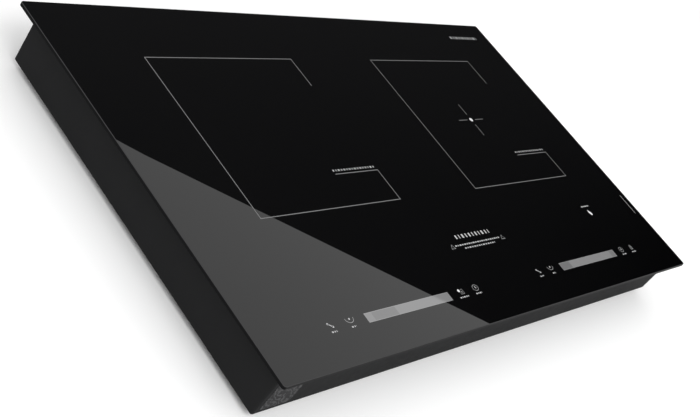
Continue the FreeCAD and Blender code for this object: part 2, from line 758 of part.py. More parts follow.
def sensor_holder():
    """The silicone holder in the middle of the coil that presses the sensor to the glass."""
    x = LEFT_ZONE_X
    z0 = CARRIER_Z - 3.0
    flange = rod(x, ZONE_Y, z0, CARRIER_Z - 0.4, CARRIER_BORE - 3.0)
    stem = rod(x, ZONE_Y, z0, Z_UNIT_TOP - 2.0, 9.0)
    well = rod(x, ZONE_Y, Z_UNIT_TOP - 6.0, Z_UNIT_TOP, 5.0)
    arms = []
    x0 = x + 8.0
    x1 = x + CARRIER_BORE - 0.15
    for i in range(3):
        arm = block(x0, x1, ZONE_Y - 1.5, ZONE_Y + 1.5, CARRIER_Z + 1.0, CARRIER_Z + 4.0)
        arms.append(turned(arm, x, ZONE_Y, 120.0 * i))
    return fused(stem, [flange] + arms).cut(well)


def temperature_sensor():
    """The glass-bead sensor in a small metal cap."""
    x = LEFT_ZONE_X
    cap = rod(x, ZONE_Y, Z_UNIT_TOP - 6.0, Z_UNIT_TOP - 0.6, 4.9)
    dome = Part.makeCone(4.9, 3.9, 0.6, Vector(x, ZONE_Y, Z_UNIT_TOP - 0.6), UP)
    return fused(cap, [dome])


# ---------------------------------------------------------------- radiant unit
def heater_plate():
    """The steel ring under the dish, with ears on the posts."""
    x = RIGHT_ZONE_X
    z1 = HEATER_PLATE_Z + HEATER_PLATE_THICK
    ring = rod(x, ZONE_Y, HEATER_PLATE_Z, z1, 92.0)
    plate = fused(ring, ears(x, HEATER_PLATE_Z, z1, 80.0))
    cutters = ear_holes(x, HEATER_PLATE_Z, z1)
    cutters.append(hole(x, ZONE_Y, HEATER_PLATE_Z, z1, 62.0))
    return plate.cut(Part.makeCompound(cutters))


def rod_notch():
    """A cutter for the notches that the limiter rod lies in."""
    reach = DISH_RADIUS + 2.0
    x0 = RIGHT_ZONE_X - reach
    x1 = RIGHT_ZONE_X + reach
    return block(x0, x1, ZONE_Y - NOTCH_HALF, ZONE_Y + NOTCH_HALF, NOTCH_Z, Z_UNIT_TOP + CUT_PAST)


def heater_dish():
    """The pressed steel dish of the radiant heater, notched for the limiter rod."""
    x = RIGHT_ZONE_X
    z0 = HEATER_PLATE_Z + HEATER_PLATE_THICK
    dish = rod(x, ZONE_Y, z0, DISH_TOP, DISH_RADIUS)
    hollow = rod(x, ZONE_Y, z0 + DISH_WALL, DISH_TOP + CUT_PAST, DISH_RADIUS - DISH_WALL)
    return dish.cut(hollow).cut(rod_notch())


def insulation_base():
    """The pressed insulating disc that carries the heating ribbon."""
    z0 = HEATER_PLATE_Z + HEATER_PLATE_THICK + DISH_WALL
    return rod(RIGHT_ZONE_X, ZONE_Y, z0, INSULATION_TOP, INSULATION_RADIUS)


def insulation_ring():
    """The insulating ring that presses against the glass, slotted for the limiter rod."""
    x = RIGHT_ZONE_X
    ring = tube(x, ZONE_Y, INSULATION_TOP, Z_UNIT_TOP, INSULATION_RADIUS, RING_INNER)
    return ring.cut(rod_notch())


def heating_ribbon():
    """One long ribbon: open rings joined end to end by short bridges, standing on the base."""
    x = RIGHT_ZONE_X
    z0 = INSULATION_TOP
    pieces = []
    for radius in RIBBON_RADII:
        gap = math.degrees(RIBBON_GAP / radius)
        outer = Part.makeCylinder(radius + RIBBON_THICK, RIBBON_HEIGHT, Vector(0, 0, 0), UP, 360.0 - 2 * gap)
        ring = outer.cut(hole(0, 0, 0, RIBBON_HEIGHT, radius))
        ring.rotate(Vector(0, 0, 0), UP, 270.0 + gap)
        ring.translate(Vector(x, ZONE_Y, z0))
        pieces.append(ring)
    for i, (near, far) in enumerate(zip(RIBBON_RADII, RIBBON_RADII[1:])):
        side = 1.0 if i % 2 else -1.0
        px = x + side * RIBBON_GAP
        y_near = ZONE_Y - math.sqrt(near * near - 9.0)
        y_far = ZONE_Y - math.sqrt((far + RIBBON_THICK) ** 2 - 25.0)
        pieces.append(block(px, px + side * RIBBON_THICK, y_far, y_near, z0, z0 + RIBBON_HEIGHT))
    return fused(pieces[0], pieces[1:])


def limiter_rod():
    """The quartz rod of the temperature limiter, across the heater."""
    x0 = RIGHT_ZONE_X - DISH_RADIUS - LIMITER_GAP
    length = 2 * DISH_RADIUS
    return Part.makeCylinder(ROD_RADIUS, length, Vector(x0, ZONE_Y, ROD_Z), Vector(1, 0, 0))


def limiter_head():
    """The ceramic switch head outside the dish, with two tabs for the leads."""
    x1 = RIGHT_ZONE_X - DISH_RADIUS - LIMITER_GAP
    x0 = x1 - LIMITER_LENGTH
    head = block(x0, x1, ZONE_Y - 8.0, ZONE_Y + 8.0, 46.0, 59.5)
    z0 = LIMITER_TAB_Z - 2.5
    tabs = []
    for dy in (-5.0, 5.0):
        tabs.append(block(x0 - LIMITER_TAB, x0 + 2.0, ZONE_Y + dy - 0.4, ZONE_Y + dy + 0.4, z0, z0 + 5.0))
    return fused(head, tabs)


# ---------------------------------------------------------------- fans
def fan_frame(side):
    """The square fan frame: round duct, four struts below, motor cup with the bearing bore."""
    x = side * FAN_X
    half = FAN_SIZE / 2
    z0 = Z_FLOOR
    z1 = Z_FLOOR + FAN_HEIGHT
    shell = rounded_block(x - half, x + half, FAN_Y - half, FAN_Y + half, z0, z1, FAN_CORNER_RADIUS)
    shell = shell.cut(hole(x, FAN_Y, z0, z1, half - FAN_DUCT_WALL))
    cup = rod(x, FAN_Y, z0, z0 + FAN_CUP_HEIGHT, FAN_CUP_RADIUS)
    struts = []
    for i in range(4):
        strut = block(x + 12.0, x + half - 0.5, FAN_Y - 2.0, FAN_Y + 2.0, z0, z0 + 3.0)
        struts.append(turned(strut, x, FAN_Y, 45.0 + 90.0 * i))
    body = fused(shell, [cup] + struts)
    cutters = [rod(x, FAN_Y, z0 + 1.0, z0 + FAN_CUP_HEIGHT + CUT_PAST, FAN_BEARING_RADIUS)]
    for px, py in fan_screw_places(side):
        cutters.append(hole(px, py, z0, z1, SCREW_HOLE_RADIUS))
        cutters.append(rod(px, py, z0 + 6.0, z1 + CUT_PAST, 2.2))
    return body.cut(Part.makeCompound(cutters))


def fan_rotor(side):
    """The fan wheel: hub, shaft in the frame's bearing and seven pitched blades."""
    x = side * FAN_X
    z0 = Z_FLOOR + FAN_CUP_HEIGHT + 0.5
    z1 = Z_FLOOR + FAN_HEIGHT - 1.0
    hub = rod(x, FAN_Y, z0, z1, FAN_HUB_RADIUS)
    shaft = rod(x, FAN_Y, Z_FLOOR + 1.5, z0 + 1.0, FAN_SHAFT_RADIUS)
    outer = FAN_SIZE / 2 - 3.0
    blades = []
    for i in range(FAN_BLADES):
        blade = block(0.0, outer + 4.0, -11.0, 11.0, -FAN_BLADE_THICK / 2, FAN_BLADE_THICK / 2)
        blade.rotate(Vector(0, 0, 0), Vector(1, 0, 0), -FAN_BLADE_PITCH * side)
        blade.translate(Vector(x, FAN_Y, (z0 + z1) / 2))
        blades.append(turned(blade, x, FAN_Y, 360.0 / FAN_BLADES * i))
    envelope = rod(x, FAN_Y, z0 + 0.5, z1 - 0.5, outer)
    swept = blades[0].multiFuse(blades[1:]).common(envelope)
    return fused(hub, [swept, shaft])


# ---------------------------------------------------------------- circuit boards
def power_board(side):
    """The bare board on its four standoffs."""
    board = block(side * BOARD_X_IN, side * BOARD_X_OUT, BOARD_Y_FRONT, BOARD_Y_BACK, BOARD_Z, BOARD_TOP)
    holes = [hole(x, y, BOARD_Z, BOARD_TOP, 2.0) for x, y in board_hole_places(side)]
    return board.cut(Part.makeCompound(holes))


def board_standoffs():
    """The eight pillars that lift the power boards off the floor."""
    pillars = []
    for side in SIDES:
        for x, y in board_hole_places(side):
            pillar = rod(x, y, Z_FLOOR, BOARD_Z, STANDOFF_RADIUS)
            pin = rod(x, y, BOARD_Z, BOARD_TOP + 1.5, 1.9)
            pillars.append(fused(pillar, [pin]).cut(screw_hole(x, y)))
    return Part.makeCompound(pillars)


def heat_sink():
    """The extruded aluminium sink on the power transistors, with fins along the air flow."""
    z0 = BOARD_TOP + PACKAGE_TOP
    z1 = z0 + SINK_BASE
    step = (SINK_X1 - SINK_X0 - SINK_FIN) / (SINK_FINS - 1)
    fins = []
    for i in range(SINK_FINS):
        x = SINK_X0 + step * i
        fins.append(block(x, x + SINK_FIN, SINK_Y0, SINK_Y1, z1, z1 + SINK_FIN_HEIGHT))
    return fused(block(SINK_X0, SINK_X1, SINK_Y0, SINK_Y1, z0, z1), fins)


def power_transistors():
    """Two transistors and the bridge rectifier, lying under the heat sink."""
    packages = []
    for x in (-305.0, -282.0, -257.0):
        body = block(x - 8.0, x + 8.0, 0.0, 20.0, BOARD_TOP + 0.6, BOARD_TOP + PACKAGE_TOP)
        legs = []
        for dx in (-5.4, 0.0, 5.4):
            legs.append(block(x + dx - 0.6, x + dx + 0.6, -5.0, 1.0, BOARD_TOP + 1.6, BOARD_TOP + 2.4))
            legs.append(block(x + dx - 0.6, x + dx + 0.6, -5.8, -5.0, BOARD_TOP, BOARD_TOP + 2.4))
        packages.append(fused(body, legs))
    return Part.makeCompound(packages)


def board_capacitors():
    """The box-shaped film capacitors and the small round cans of both boards."""
    group = []
    for x0, y, width, depth, height in FILM_CAPACITORS:
        half = depth / 2
        group.append(rounded_block(x0, x0 + width, y - half, y + half, BOARD_TOP, BOARD_TOP + height, 1.0))
    for x, y in ROUND_CAPACITORS:
        group.append(rod(x, y, BOARD_TOP, BOARD_TOP + ROUND_CAPACITOR_HEIGHT, ROUND_CAPACITOR_RADIUS))
    return Part.makeCompound(group)


def choke_coil():
    """The toroidal filter choke, lying flat on the power board."""
    return Part.makeTorus(11.0, 5.4, Vector(-212.0, -28.0, BOARD_TOP + 5.6), UP)


def relays():
    """The relays: one on the induction board, two for the radiant heater."""
    cases = []
    for x, y in ((-262.0, -60.0), (200.0, 45.0), (200.0, 20.0)):
        cases.append(rounded_block(x - 10.0, x + 10.0, y - 8.0, y + 8.0, BOARD_TOP, BOARD_TOP + 14.0, 0.8))
    return Part.makeCompound(cases)


def board_fuses():
    """A glass fuse with end caps in two clips, one on each board."""
    fuses = []
    for side in SIDES:
        x = side * 278.0
        y = -84.0
        z = BOARD_TOP + 5.0
        body = Part.makeCylinder(2.6, 20.0, Vector(x - 10.0, y, z), Vector(1, 0, 0))
        clips = []
        for dx in (-8.0, 8.0):
            clips.append(Part.makeCylinder(3.0, 5.0, Vector(x + dx - 2.5, y, z), Vector(1, 0, 0)))
            clips.append(block(x + dx - 2.0, x + dx + 2.0, y - 2.0, y + 2.0, BOARD_TOP, z))
        fuses.append(fused(body, clips))
    return Part.makeCompound(fuses)


def supply_transformers():
    """The small switching transformers, one on each board."""
    units = []
    for x, y in ((-306.0, -74.0), (250.0, 36.0)):
        core = block(x - 9.0, x + 9.0, y - 8.0, y + 8.0, BOARD_TOP + 2.0, BOARD_TOP + 12.0)
        bobbin = block(x - 10.0, x + 10.0, y - 5.5, y + 5.5, BOARD_TOP, BOARD_TOP + 14.0)
        units.append(fused(core, [bobbin]))
    return Part.makeCompound(units)


def board_chips():
    """Controllers and drivers: flat black packages on both boards."""
    chips = []
    places = ((-290.0, -28.0), (-258.0, -34.0), (-206.0, -82.0), (280.0, -30.0), (240.0, -60.0))
    for x, y in places:
        chips.append(block(x - 7.0, x + 7.0, y - 4.0, y + 4.0, BOARD_TOP, BOARD_TOP + 2.2))
    return Part.makeCompound(chips)


def board_connectors():
    """White header sockets at the boards' edges."""
    sockets = []
    for x, y, width in CONNECTORS:
        shell = block(x - width / 2, x + width / 2, y - 3.5, y + 3.5, BOARD_TOP, BOARD_TOP + CONNECTOR_HEIGHT)
        half = width / 2 - 1.0
        well = block(x - half, x + half, y - 2.5, y + 2.5, BOARD_TOP + 2.0, BOARD_TOP + 9.0)
        sockets.append(shell.cut(well))
    return Part.makeCompound(sockets)


# ---------------------------------------------------------------- touch controls
def touch_carrier(side):
    """The moulded tray under one set of touch keys, on six legs."""
    x0 = side * TOUCH_X_IN
    x1 = side * TOUCH_X_OUT
    inward = side * TOUCH_TRAY_WALL
    y0 = TOUCH_Y_FRONT + TOUCH_TRAY_WALL
    y1 = TOUCH_Y_BACK - TOUCH_TRAY_WALL
    z_top = TOUCH_BOARD_Z + BOARD_THICK + 1.0
    tray = block(x0, x1, TOUCH_Y_FRONT, TOUCH_Y_BACK, TOUCH_TRAY_Z, z_top)
    hollow = block(x0 + inward, x1 - inward, y0, y1, TOUCH_TRAY_Z + TOUCH_TRAY_WALL, z_top + CUT_PAST)
    legs = []
    holes = []
    for x, y in touch_leg_places(side):
        legs.append(rod(x, y, Z_FLOOR, TOUCH_BOARD_Z, TOUCH_LEG_RADIUS))
        holes.append(screw_hole(x, y))
    return fused(tray.cut(hollow), legs).cut(Part.makeCompound(holes))


def touch_board(side):
    """The board with the touch electrodes, lying on the tray's legs."""
    x0 = side * (TOUCH_X_IN + 2.0)
    x1 = side * (TOUCH_X_OUT - 2.0)
    return block(x0, x1, TOUCH_Y_FRONT + 2.0, TOUCH_Y_BACK - 2.0, TOUCH_BOARD_Z, TOUCH_BOARD_Z + BOARD_THICK)


def touch_springs():
    """The eight sleeve-shaped contact springs between board and glass, one under each key."""
    z0 = TOUCH_BOARD_Z + BOARD_THICK
    sleeves = []
    for side in SIDES:
        for x in TOUCH_KEYS:
            sleeves.append(tube(side * x, TOUCH_KEY_Y, z0, Z_UNIT_TOP, KEY_SPRING_OUTER, KEY_SPRING_INNER))
    return Part.makeCompound(sleeves)


def light_bars():
    """The milky light guides under the two slider windows."""
    z0 = TOUCH_BOARD_Z + BOARD_THICK
    bars = []
    for side in SIDES:
        bars.append(block(side * BAR_X_IN, side * BAR_X_OUT, BAR_Y_FRONT, BAR_Y_BACK, z0, Z_UNIT_TOP))
    return Part.makeCompound(bars)


# ---------------------------------------------------------------- internal leads
def coil_leads():
    """The two ends of the coil, from the rim of the carrier down to the power board."""
    z_out = CARRIER_Z + CARRIER_THICK + 2.0
    leads = []
    for dx in (-6.0, 6.0):
        x0, y0 = polar(LEFT_ZONE_X + dx * 0.9, ZONE_Y + dx * -0.5, CARRIER_RADIUS + 1.4, 235.0)
        points = [
            (x0, y0, z_out),
            (x0 - 5.0, y0 - 7.0, z_out - 1.0),
            (x0 - 7.0 + dx * 0.3, y0 - 13.0, z_out - 12.0),
            (-222.0 + dx, -60.0, BOARD_TOP + 13.0),
            (-222.0 + dx, -61.0, BOARD_TOP + 0.3),
        ]
        leads.append(lead(points, COIL_LEAD_RADIUS))
    return Part.makeCompound(leads)


def heater_leads():
    """The two leads from the limiter head round under the dish to the right-hand board."""
    x0 = RIGHT_ZONE_X - DISH_RADIUS - LIMITER_GAP - LIMITER_LENGTH - LIMITER_TAB - 0.2
    z = BOARD_TOP
    leads = []
    for dy in (-5.0, 5.0):
        y = ZONE_Y + dy
        points = [
            (x0, y, LIMITER_TAB_Z),
            (x0 - 9.0, y + 0.2 * dy, LIMITER_TAB_Z - 1.0),
            (x0 - 14.0, y + 0.3 * dy - 6.0, z + 23.0),
            (x0 - 8.0, y - 20.0, z + 9.0),
            (x0 + 30.0, y - 36.0, z + 3.0),
            (x0 + 76.0, y - 56.0, z + 4.0),
            (x0 + 116.0, y - 70.0, z + 6.0),
            (x0 + 150.0, y - 80.0, z + 9.0),
            (x0 + 166.0, y - 92.0, z + 12.0),
            (x0 + 170.0, y - 101.0, z + 8.0),
            (x0 + 170.0, y - 102.0, z + 0.4),
        ]
        leads.append(lead(points, HEATER_LEAD_RADIUS))
    return Part.makeCompound(leads)


def mains_leads():
    """Live and neutral from the terminal block to both boards, and the earth lead to its stud."""
    leads = []
    z = Z_FLOOR
    for side in SIDES:
        x_plug = 196.0 if side < 0 else 230.0
        for i in range(2):
            way = terminal_places()[i]
            spread = 4.0 * i
            points = [
                (way + side * 1.0, TERMINAL_Y - 12.2, z + 9.0),
                (way + side * 5.0, TERMINAL_Y - 24.0, z + 6.0),
                (side * 45.0, TERMINAL_Y - 28.0 - spread, z + 3.5),
                (side * 85.0, TERMINAL_Y - 30.0 - spread, z + 3.0),
                (side * 125.0, TERMINAL_Y - 40.0 - spread, z + 3.2),
                (side * 160.0, TERMINAL_Y - 58.0 - spread, z + 6.0),
                (side * (x_plug - 6.0 + spread), 79.0, BOARD_TOP + 13.0),
                (side * (x_plug - 2.0 + spread), 64.0, BOARD_TOP + CONNECTOR_HEIGHT + 1.6),
            ]
            leads.append(lead(points, MAINS_LEAD_RADIUS))
    way = terminal_places()[2]
    points = [
        (way, TERMINAL_Y + 12.2, z + 9.0),
        (way + 6.0, TERMINAL_Y + 22.0, z + 9.0),
        (way + 20.0, TERMINAL_Y + 27.0, z + 7.0),
        (way + 34.0, TERMINAL_Y + 20.0, z + 4.6),
        (way + 38.0, TERMINAL_Y + 8.0, z + 2.6),
    ]
    leads.append(lead(points, MAINS_LEAD_RADIUS))
    return Part.makeCompound(leads)


def earth_stud():
    """The stud, nut and ring tag where the earth lead ends."""
    stud = rod(EARTH_X, EARTH_Y, Z_FLOOR, Z_FLOOR + 10.0, 2.0)
    tag = rod(EARTH_X, EARTH_Y, Z_FLOOR, Z_FLOOR + 1.0, 4.4)
    nut = hexagon(EARTH_X, EARTH_Y, Z_FLOOR + 1.0, 4.0, 3.0)
    return fused(stud, [tag, nut])


def control_cables():
    """The flat cables from each power board up to its touch board."""
    cables = []
    z_low = BOARD_TOP + CONNECTOR_HEIGHT + 0.3
    z_high = TOUCH_TRAY_Z - 3.0
    z_over = TOUCH_BOARD_Z + 3.6
    thin = RIBBON_CABLE_THICK
    y_back = -90.0
    y_front = -138.0
    for side in SIDES:
        x = side * 245.0
        x0 = x - RIBBON_CABLE_WIDTH / 2
        x1 = x + RIBBON_CABLE_WIDTH / 2
        riser = block(x0, x1, y_back - thin / 2, y_back + thin / 2, z_low, z_high)
        run = block(x0, x1, y_front, y_back + thin / 2, z_high - thin, z_high)
        climb = block(x0, x1, y_front - thin / 2, y_front + thin / 2, z_high - thin, z_over)
        over = block(x0, x1, TOUCH_Y_BACK - 7.0, y_front + thin / 2, z_over - thin, z_over)
        cables.append(fused(riser, [run, climb, over]))
    return Part.makeCompound(cables)


# ---------------------------------------------------------------- every sub-part
def main():
    """Makes and writes every sub-part."""
    save("glass_top", glass_top())
    save("glass_adhesive", glass_adhesive())
    save("rim_seal", rim_seal())
    save("housing", housing())
    save("blank_label", blank_label())
    save("rubber_feet", rubber_feet())
    save("base_screws", base_screws())
    corners = ("front_left", "back_left", "front_right", "back_right")
    for name, (sx, sy) in zip(corners, [(sx, sy) for sx in SIDES for sy in SIDES]):
        save(f"fixing_bracket_{name}", fixing_bracket(sx, sy))
    save("bracket_screws", bracket_screws())
    save("cable_gland", cable_gland())
    save("gland_nut", gland_nut())
    save("terminal_block", terminal_block())
    save("terminal_screws", terminal_screws())
    save("earth_stud", earth_stud())
    save("zone_posts", zone_posts())
    save("coil_springs", springs(LEFT_ZONE_X, COIL_PLATE_Z))
    save("coil_plate", coil_plate())
    save("ferrite_bars", ferrite_bars())
    save("coil_carrier", coil_carrier())
    save("induction_coil", induction_coil())
    save("mica_sheet", mica_sheet())
    save("sensor_holder", sensor_holder())
    save("temperature_sensor", temperature_sensor())
    save("heater_springs", springs(RIGHT_ZONE_X, HEATER_PLATE_Z))
    save("heater_plate", heater_plate())
    save("heater_dish", heater_dish())
    save("insulation_base", insulation_base())
    save("insulation_ring", insulation_ring())
    save("heating_ribbon", heating_ribbon())
    save("limiter_rod", limiter_rod())
    save("limiter_head", limiter_head())
    for name, side in (("left", -1.0), ("right", 1.0)):
        save(f"fan_frame_{name}", fan_frame(side))
        save(f"fan_rotor_{name}", fan_rotor(side))
        save(f"power_board_{name}", power_board(side))
        save(f"touch_carrier_{name}", touch_carrier(side))
        save(f"touch_board_{name}", touch_board(side))
    save("board_standoffs", board_standoffs())
    save("heat_sink", heat_sink())
    save("power_transistors", power_transistors())
    save("board_capacitors", board_capacitors())
    save("choke_coil", choke_coil())
    save("relays", relays())
    save("board_fuses", board_fuses())
    save("supply_transformers", supply_transformers())
    save("board_chips", board_chips())
    save("board_connectors", board_connectors())
    save("touch_springs", touch_springs())
    save("light_bars", light_bars())
    save("coil_leads", coil_leads())
    save("heater_leads", heater_leads())
    save("mains_leads", mains_leads())
    save("control_cables", control_cables())


main()
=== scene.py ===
"""Looks of the built-in two-zone cooktop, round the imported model, in metres and its own frame."""

import json
import math

import bmesh
import bpy
from mathutils import Matrix, Vector


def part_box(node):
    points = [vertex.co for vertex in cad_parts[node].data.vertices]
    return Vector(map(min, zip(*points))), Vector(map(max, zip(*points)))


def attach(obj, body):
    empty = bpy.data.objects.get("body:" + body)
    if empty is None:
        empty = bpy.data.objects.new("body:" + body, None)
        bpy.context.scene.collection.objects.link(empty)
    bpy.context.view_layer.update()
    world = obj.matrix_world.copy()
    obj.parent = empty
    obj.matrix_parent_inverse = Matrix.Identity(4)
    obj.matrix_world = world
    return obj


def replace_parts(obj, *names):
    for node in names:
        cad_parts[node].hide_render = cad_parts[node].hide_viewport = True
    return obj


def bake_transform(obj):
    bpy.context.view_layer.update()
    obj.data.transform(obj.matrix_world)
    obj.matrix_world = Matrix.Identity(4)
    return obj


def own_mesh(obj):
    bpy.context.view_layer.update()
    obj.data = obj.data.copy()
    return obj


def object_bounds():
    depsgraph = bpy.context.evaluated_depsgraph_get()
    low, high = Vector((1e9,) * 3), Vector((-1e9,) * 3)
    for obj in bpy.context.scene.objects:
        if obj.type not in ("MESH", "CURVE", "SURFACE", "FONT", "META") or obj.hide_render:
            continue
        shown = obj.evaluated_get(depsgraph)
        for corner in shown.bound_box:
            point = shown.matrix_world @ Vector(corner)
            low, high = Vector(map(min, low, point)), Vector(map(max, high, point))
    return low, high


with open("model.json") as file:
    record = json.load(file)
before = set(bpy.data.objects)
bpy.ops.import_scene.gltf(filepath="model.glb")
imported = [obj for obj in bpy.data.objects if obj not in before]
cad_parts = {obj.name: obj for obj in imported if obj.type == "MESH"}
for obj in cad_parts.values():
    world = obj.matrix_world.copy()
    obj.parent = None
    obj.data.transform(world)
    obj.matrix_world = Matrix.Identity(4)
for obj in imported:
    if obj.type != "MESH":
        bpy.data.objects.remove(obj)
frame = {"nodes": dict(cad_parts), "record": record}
CAD_LOW, CAD_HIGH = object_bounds()

MM = 0.001
TURN = 2.0 * math.pi
WELD = 0.001 * MM
UP = Vector((0.0, 0.0, 1.0))
GLASS_LOW, GLASS_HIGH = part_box("glass_top")
GLASS_CORNER = Vector((GLASS_LOW.x, GLASS_LOW.y, GLASS_HIGH.z))
BASE_BODY = "hob_body"
COIL_BODY = "coil_unit"
HEATER_BODY = "heater_unit"


# ---------------------------------------------------------------- camera
CAMERA_FROM_CORNER = Vector((-0.63486, -0.25766, 0.57191))
CAMERA_HEADING = math.radians(65.4745)
CAMERA_DROP = math.radians(30.7205)
CAMERA_ROLL = math.radians(-39.3562)
CAMERA_LENS = 60.434
CAMERA_SHIFT = (-0.0361, 0.0117)
CAMERA_CLIP = (0.01, 50.0)


def camera_axes():
    """Right, up and forward of the camera's picture."""
    level = math.cos(CAMERA_DROP)
    forward = Vector(
        (math.sin(CAMERA_HEADING) * level, math.cos(CAMERA_HEADING) * level, -math.sin(CAMERA_DROP))
    )
    right = forward.cross(UP).normalized()
    down = forward.cross(right)
    right = right * math.cos(CAMERA_ROLL) + down * math.sin(CAMERA_ROLL)
    return right, right.cross(forward), forward


def add_camera():
    """The camera, placed from the glass's front left corner."""
    right, up, forward = camera_axes()
    data = bpy.data.cameras.new("camera")
    data.lens = CAMERA_LENS
    data.shift_x, data.shift_y = CAMERA_SHIFT
    data.clip_start, data.clip_end = CAMERA_CLIP
    camera = bpy.data.objects.new("camera", data)
    rotation = Matrix((right, up, -forward)).transposed().to_4x4()
    camera.matrix_world = Matrix.Translation(GLASS_CORNER + CAMERA_FROM_CORNER) @ rotation
    bpy.context.scene.collection.objects.link(camera)
    bpy.context.scene.camera = camera


# ---------------------------------------------------------------- shader helper
class Shader:
    """A material's node tree, with short ways to add and join nodes."""

    def __init__(self, name):
        self.material = bpy.data.materials.new(name)
        self.material.use_nodes = True
        self.nodes = self.material.node_tree.nodes
        self.links = self.material.node_tree.links
        self.surface = self.nodes["Principled BSDF"]
        self.place = self.nodes.new("ShaderNodeTexCoord").outputs["Object"]

    def set(self, **values):
        """Sets sockets of the surface shader; underscores in a name stand for spaces."""
        for name, value in values.items():
            self.surface.inputs[name.replace("_", " ")].default_value = value

    def join(self, source, socket):
        """Links a node's output to a socket of the surface shader."""
        self.links.new(source, self.surface.inputs[socket])

    def stretched(self, scale):
        """The place on the object, scaled differently along each axis."""
        node = self.nodes.new("ShaderNodeMapping")
        node.inputs["Scale"].default_value = scale
        self.links.new(self.place, node.inputs["Vector"])
        return node.outputs["Vector"]

    def noise(self, scale, detail=3.0, place=None):
        """Cloudy noise, 0 to 1."""
        node = self.nodes.new("ShaderNodeTexNoise")
        node.inputs["Scale"].default_value = scale
        node.inputs["Detail"].default_value = detail
        self.links.new(place or self.place, node.inputs["Vector"])
        return node.outputs["Fac"]

    def cells(self, scale, feature="F1", output="Distance", scatter=1.0, metric="EUCLIDEAN"):
        """Scattered cells: the distance to their middles or edges, or a random colour for each."""
        node = self.nodes.new("ShaderNodeTexVoronoi")
        node.feature = feature
        if feature == "F1":
            node.distance = metric
        node.inputs["Scale"].default_value = scale
        node.inputs["Randomness"].default_value = scatter
        self.links.new(self.place, node.inputs["Vector"])
        return node.outputs[output]

    def waves(self, scale, distortion, direction="X", detail_scale=1.0):
        """Parallel bands, wavering by the distortion."""
        node = self.nodes.new("ShaderNodeTexWave")
        node.bands_direction = direction
        node.inputs["Scale"].default_value = scale
        node.inputs["Distortion"].default_value = distortion
        node.inputs["Detail Scale"].default_value = detail_scale
        self.links.new(self.place, node.inputs["Vector"])
        return node.outputs["Fac"]

    def between(self, value, low, high, start=0.0, end=1.0):
        """The value, from start to end, mapped to low to high and held there."""
        node = self.nodes.new("ShaderNodeMapRange")
        node.inputs["From Min"].default_value = start
        node.inputs["From Max"].default_value = end
        node.inputs["To Min"].default_value = low
        node.inputs["To Max"].default_value = high
        self.links.new(value, node.inputs["Value"])
        return node.outputs["Result"]

    def blend(self, amount, first, second):
        """A colour between two colours, each a tuple or another node's output."""
        node = self.nodes.new("ShaderNodeMix")
        node.data_type = "RGBA"
        self.links.new(amount, node.inputs["Factor"])
        for socket, colour in ((node.inputs[6], first), (node.inputs[7], second)):
            if isinstance(colour, tuple):
                socket.default_value = (*colour, 1.0)
            else:
                self.links.new(colour, socket)
        return node.outputs[2]

    def calc(self, operation, first, second=0.0):
        """One arithmetic step on node outputs or plain numbers."""
        node = self.nodes.new("ShaderNodeMath")
        node.operation = operation
        for socket, value in zip(node.inputs, (first, second)):
            if isinstance(value, float):
                socket.default_value = value
            else:
                self.links.new(value, socket)
        return node.outputs[0]

    def parts_of(self, colour):
        """The three parts of a random cell colour, as three separate numbers."""
        split = self.nodes.new("ShaderNodeSeparateColor")
        self.links.new(colour, split.inputs[0])
        return split.outputs[0], split.outputs[1], split.outputs[2]

    def facing_up(self):
        """1 where the surface's own direction is straight up, 0 on its sides."""
        geometry = self.nodes.new("ShaderNodeNewGeometry")
        split = self.nodes.new("ShaderNodeSeparateXYZ")
        self.links.new(geometry.outputs["Normal"], split.inputs[0])
        return split.outputs["Z"]

    def axis(self, letter):
        """One coordinate of the place on the object."""
        split = self.nodes.new("ShaderNodeSeparateXYZ")
        self.links.new(self.place, split.inputs[0])
        return split.outputs[letter]

    def bump(self, height, distance, strength=1.0):
        """Relief from a height, in metres."""
        node = self.nodes.new("ShaderNodeBump")
        node.inputs["Distance"].default_value = distance
        node.inputs["Strength"].default_value = strength
        self.links.new(height, node.inputs["Height"])
        self.join(node.outputs["Normal"], "Normal")


# ---------------------------------------------------------------- materials of the outside
def black_glass():
    """Opaque black glass-ceramic: polished top; a rough bevel whose grey is a painted highlight
    standing in for the arris glint; dull dark edge below it.
    """
    s = Shader("black_glass")
    s.set(Metallic=0.0, IOR=1.52)
    up = s.facing_up()
    # 1 on the bevel and the sides below the top: these take the painted highlight on the bevel and
    # the dark edge
    ground = s.between(up, 1.0, 0.0, 0.75, 0.95)
    top = s.blend(s.noise(9.0, 4.0), (0.0008, 0.0008, 0.0009), (0.0014, 0.0014, 0.0016))
    grain = s.noise(45.0, 3.0)
    edge = s.blend(grain, (0.0062, 0.0062, 0.0065), (0.0080, 0.0081, 0.0084))
    # painted highlight: the bevel's grey base colour stands in for the glint of light on the
    # polished arris, where the reflection is turned down
    bevel = s.blend(grain, (0.040, 0.040, 0.041), (0.050, 0.050, 0.051))
    # the upward-facing bevel gets the painted highlight, and the side faces below it stay dark
    sides = s.blend(s.between(up, 0.0, 1.0, 0.1, 0.65), edge, bevel)
    s.join(s.blend(ground, top, sides), "Base Color")
    s.join(s.between(ground, 0.5, 0.012), "Specular IOR Level")
    polish = s.between(s.noise(60.0, 5.0), 0.002, 0.006, 0.35, 0.7)
    s.join(s.calc("ADD", polish, s.between(ground, 0.0, 0.40)), "Roughness")
    return s.material


def powder_paint():
    """Satin black powder coat with fine orange peel."""
    s = Shader("powder_paint")
    s.set(Metallic=0.0, Specular_IOR_Level=0.03)
    tone = s.noise(30.0, 5.0)
    s.join(s.blend(tone, (0.0130, 0.0132, 0.0136), (0.0152, 0.0154, 0.0159)), "Base Color")
    s.join(s.between(s.noise(160.0, 4.0), 0.60, 0.68, 0.3, 0.7), "Roughness")
    s.bump(s.noise(1400.0, 3.0), 0.06 * MM, 0.5)
    return s.material


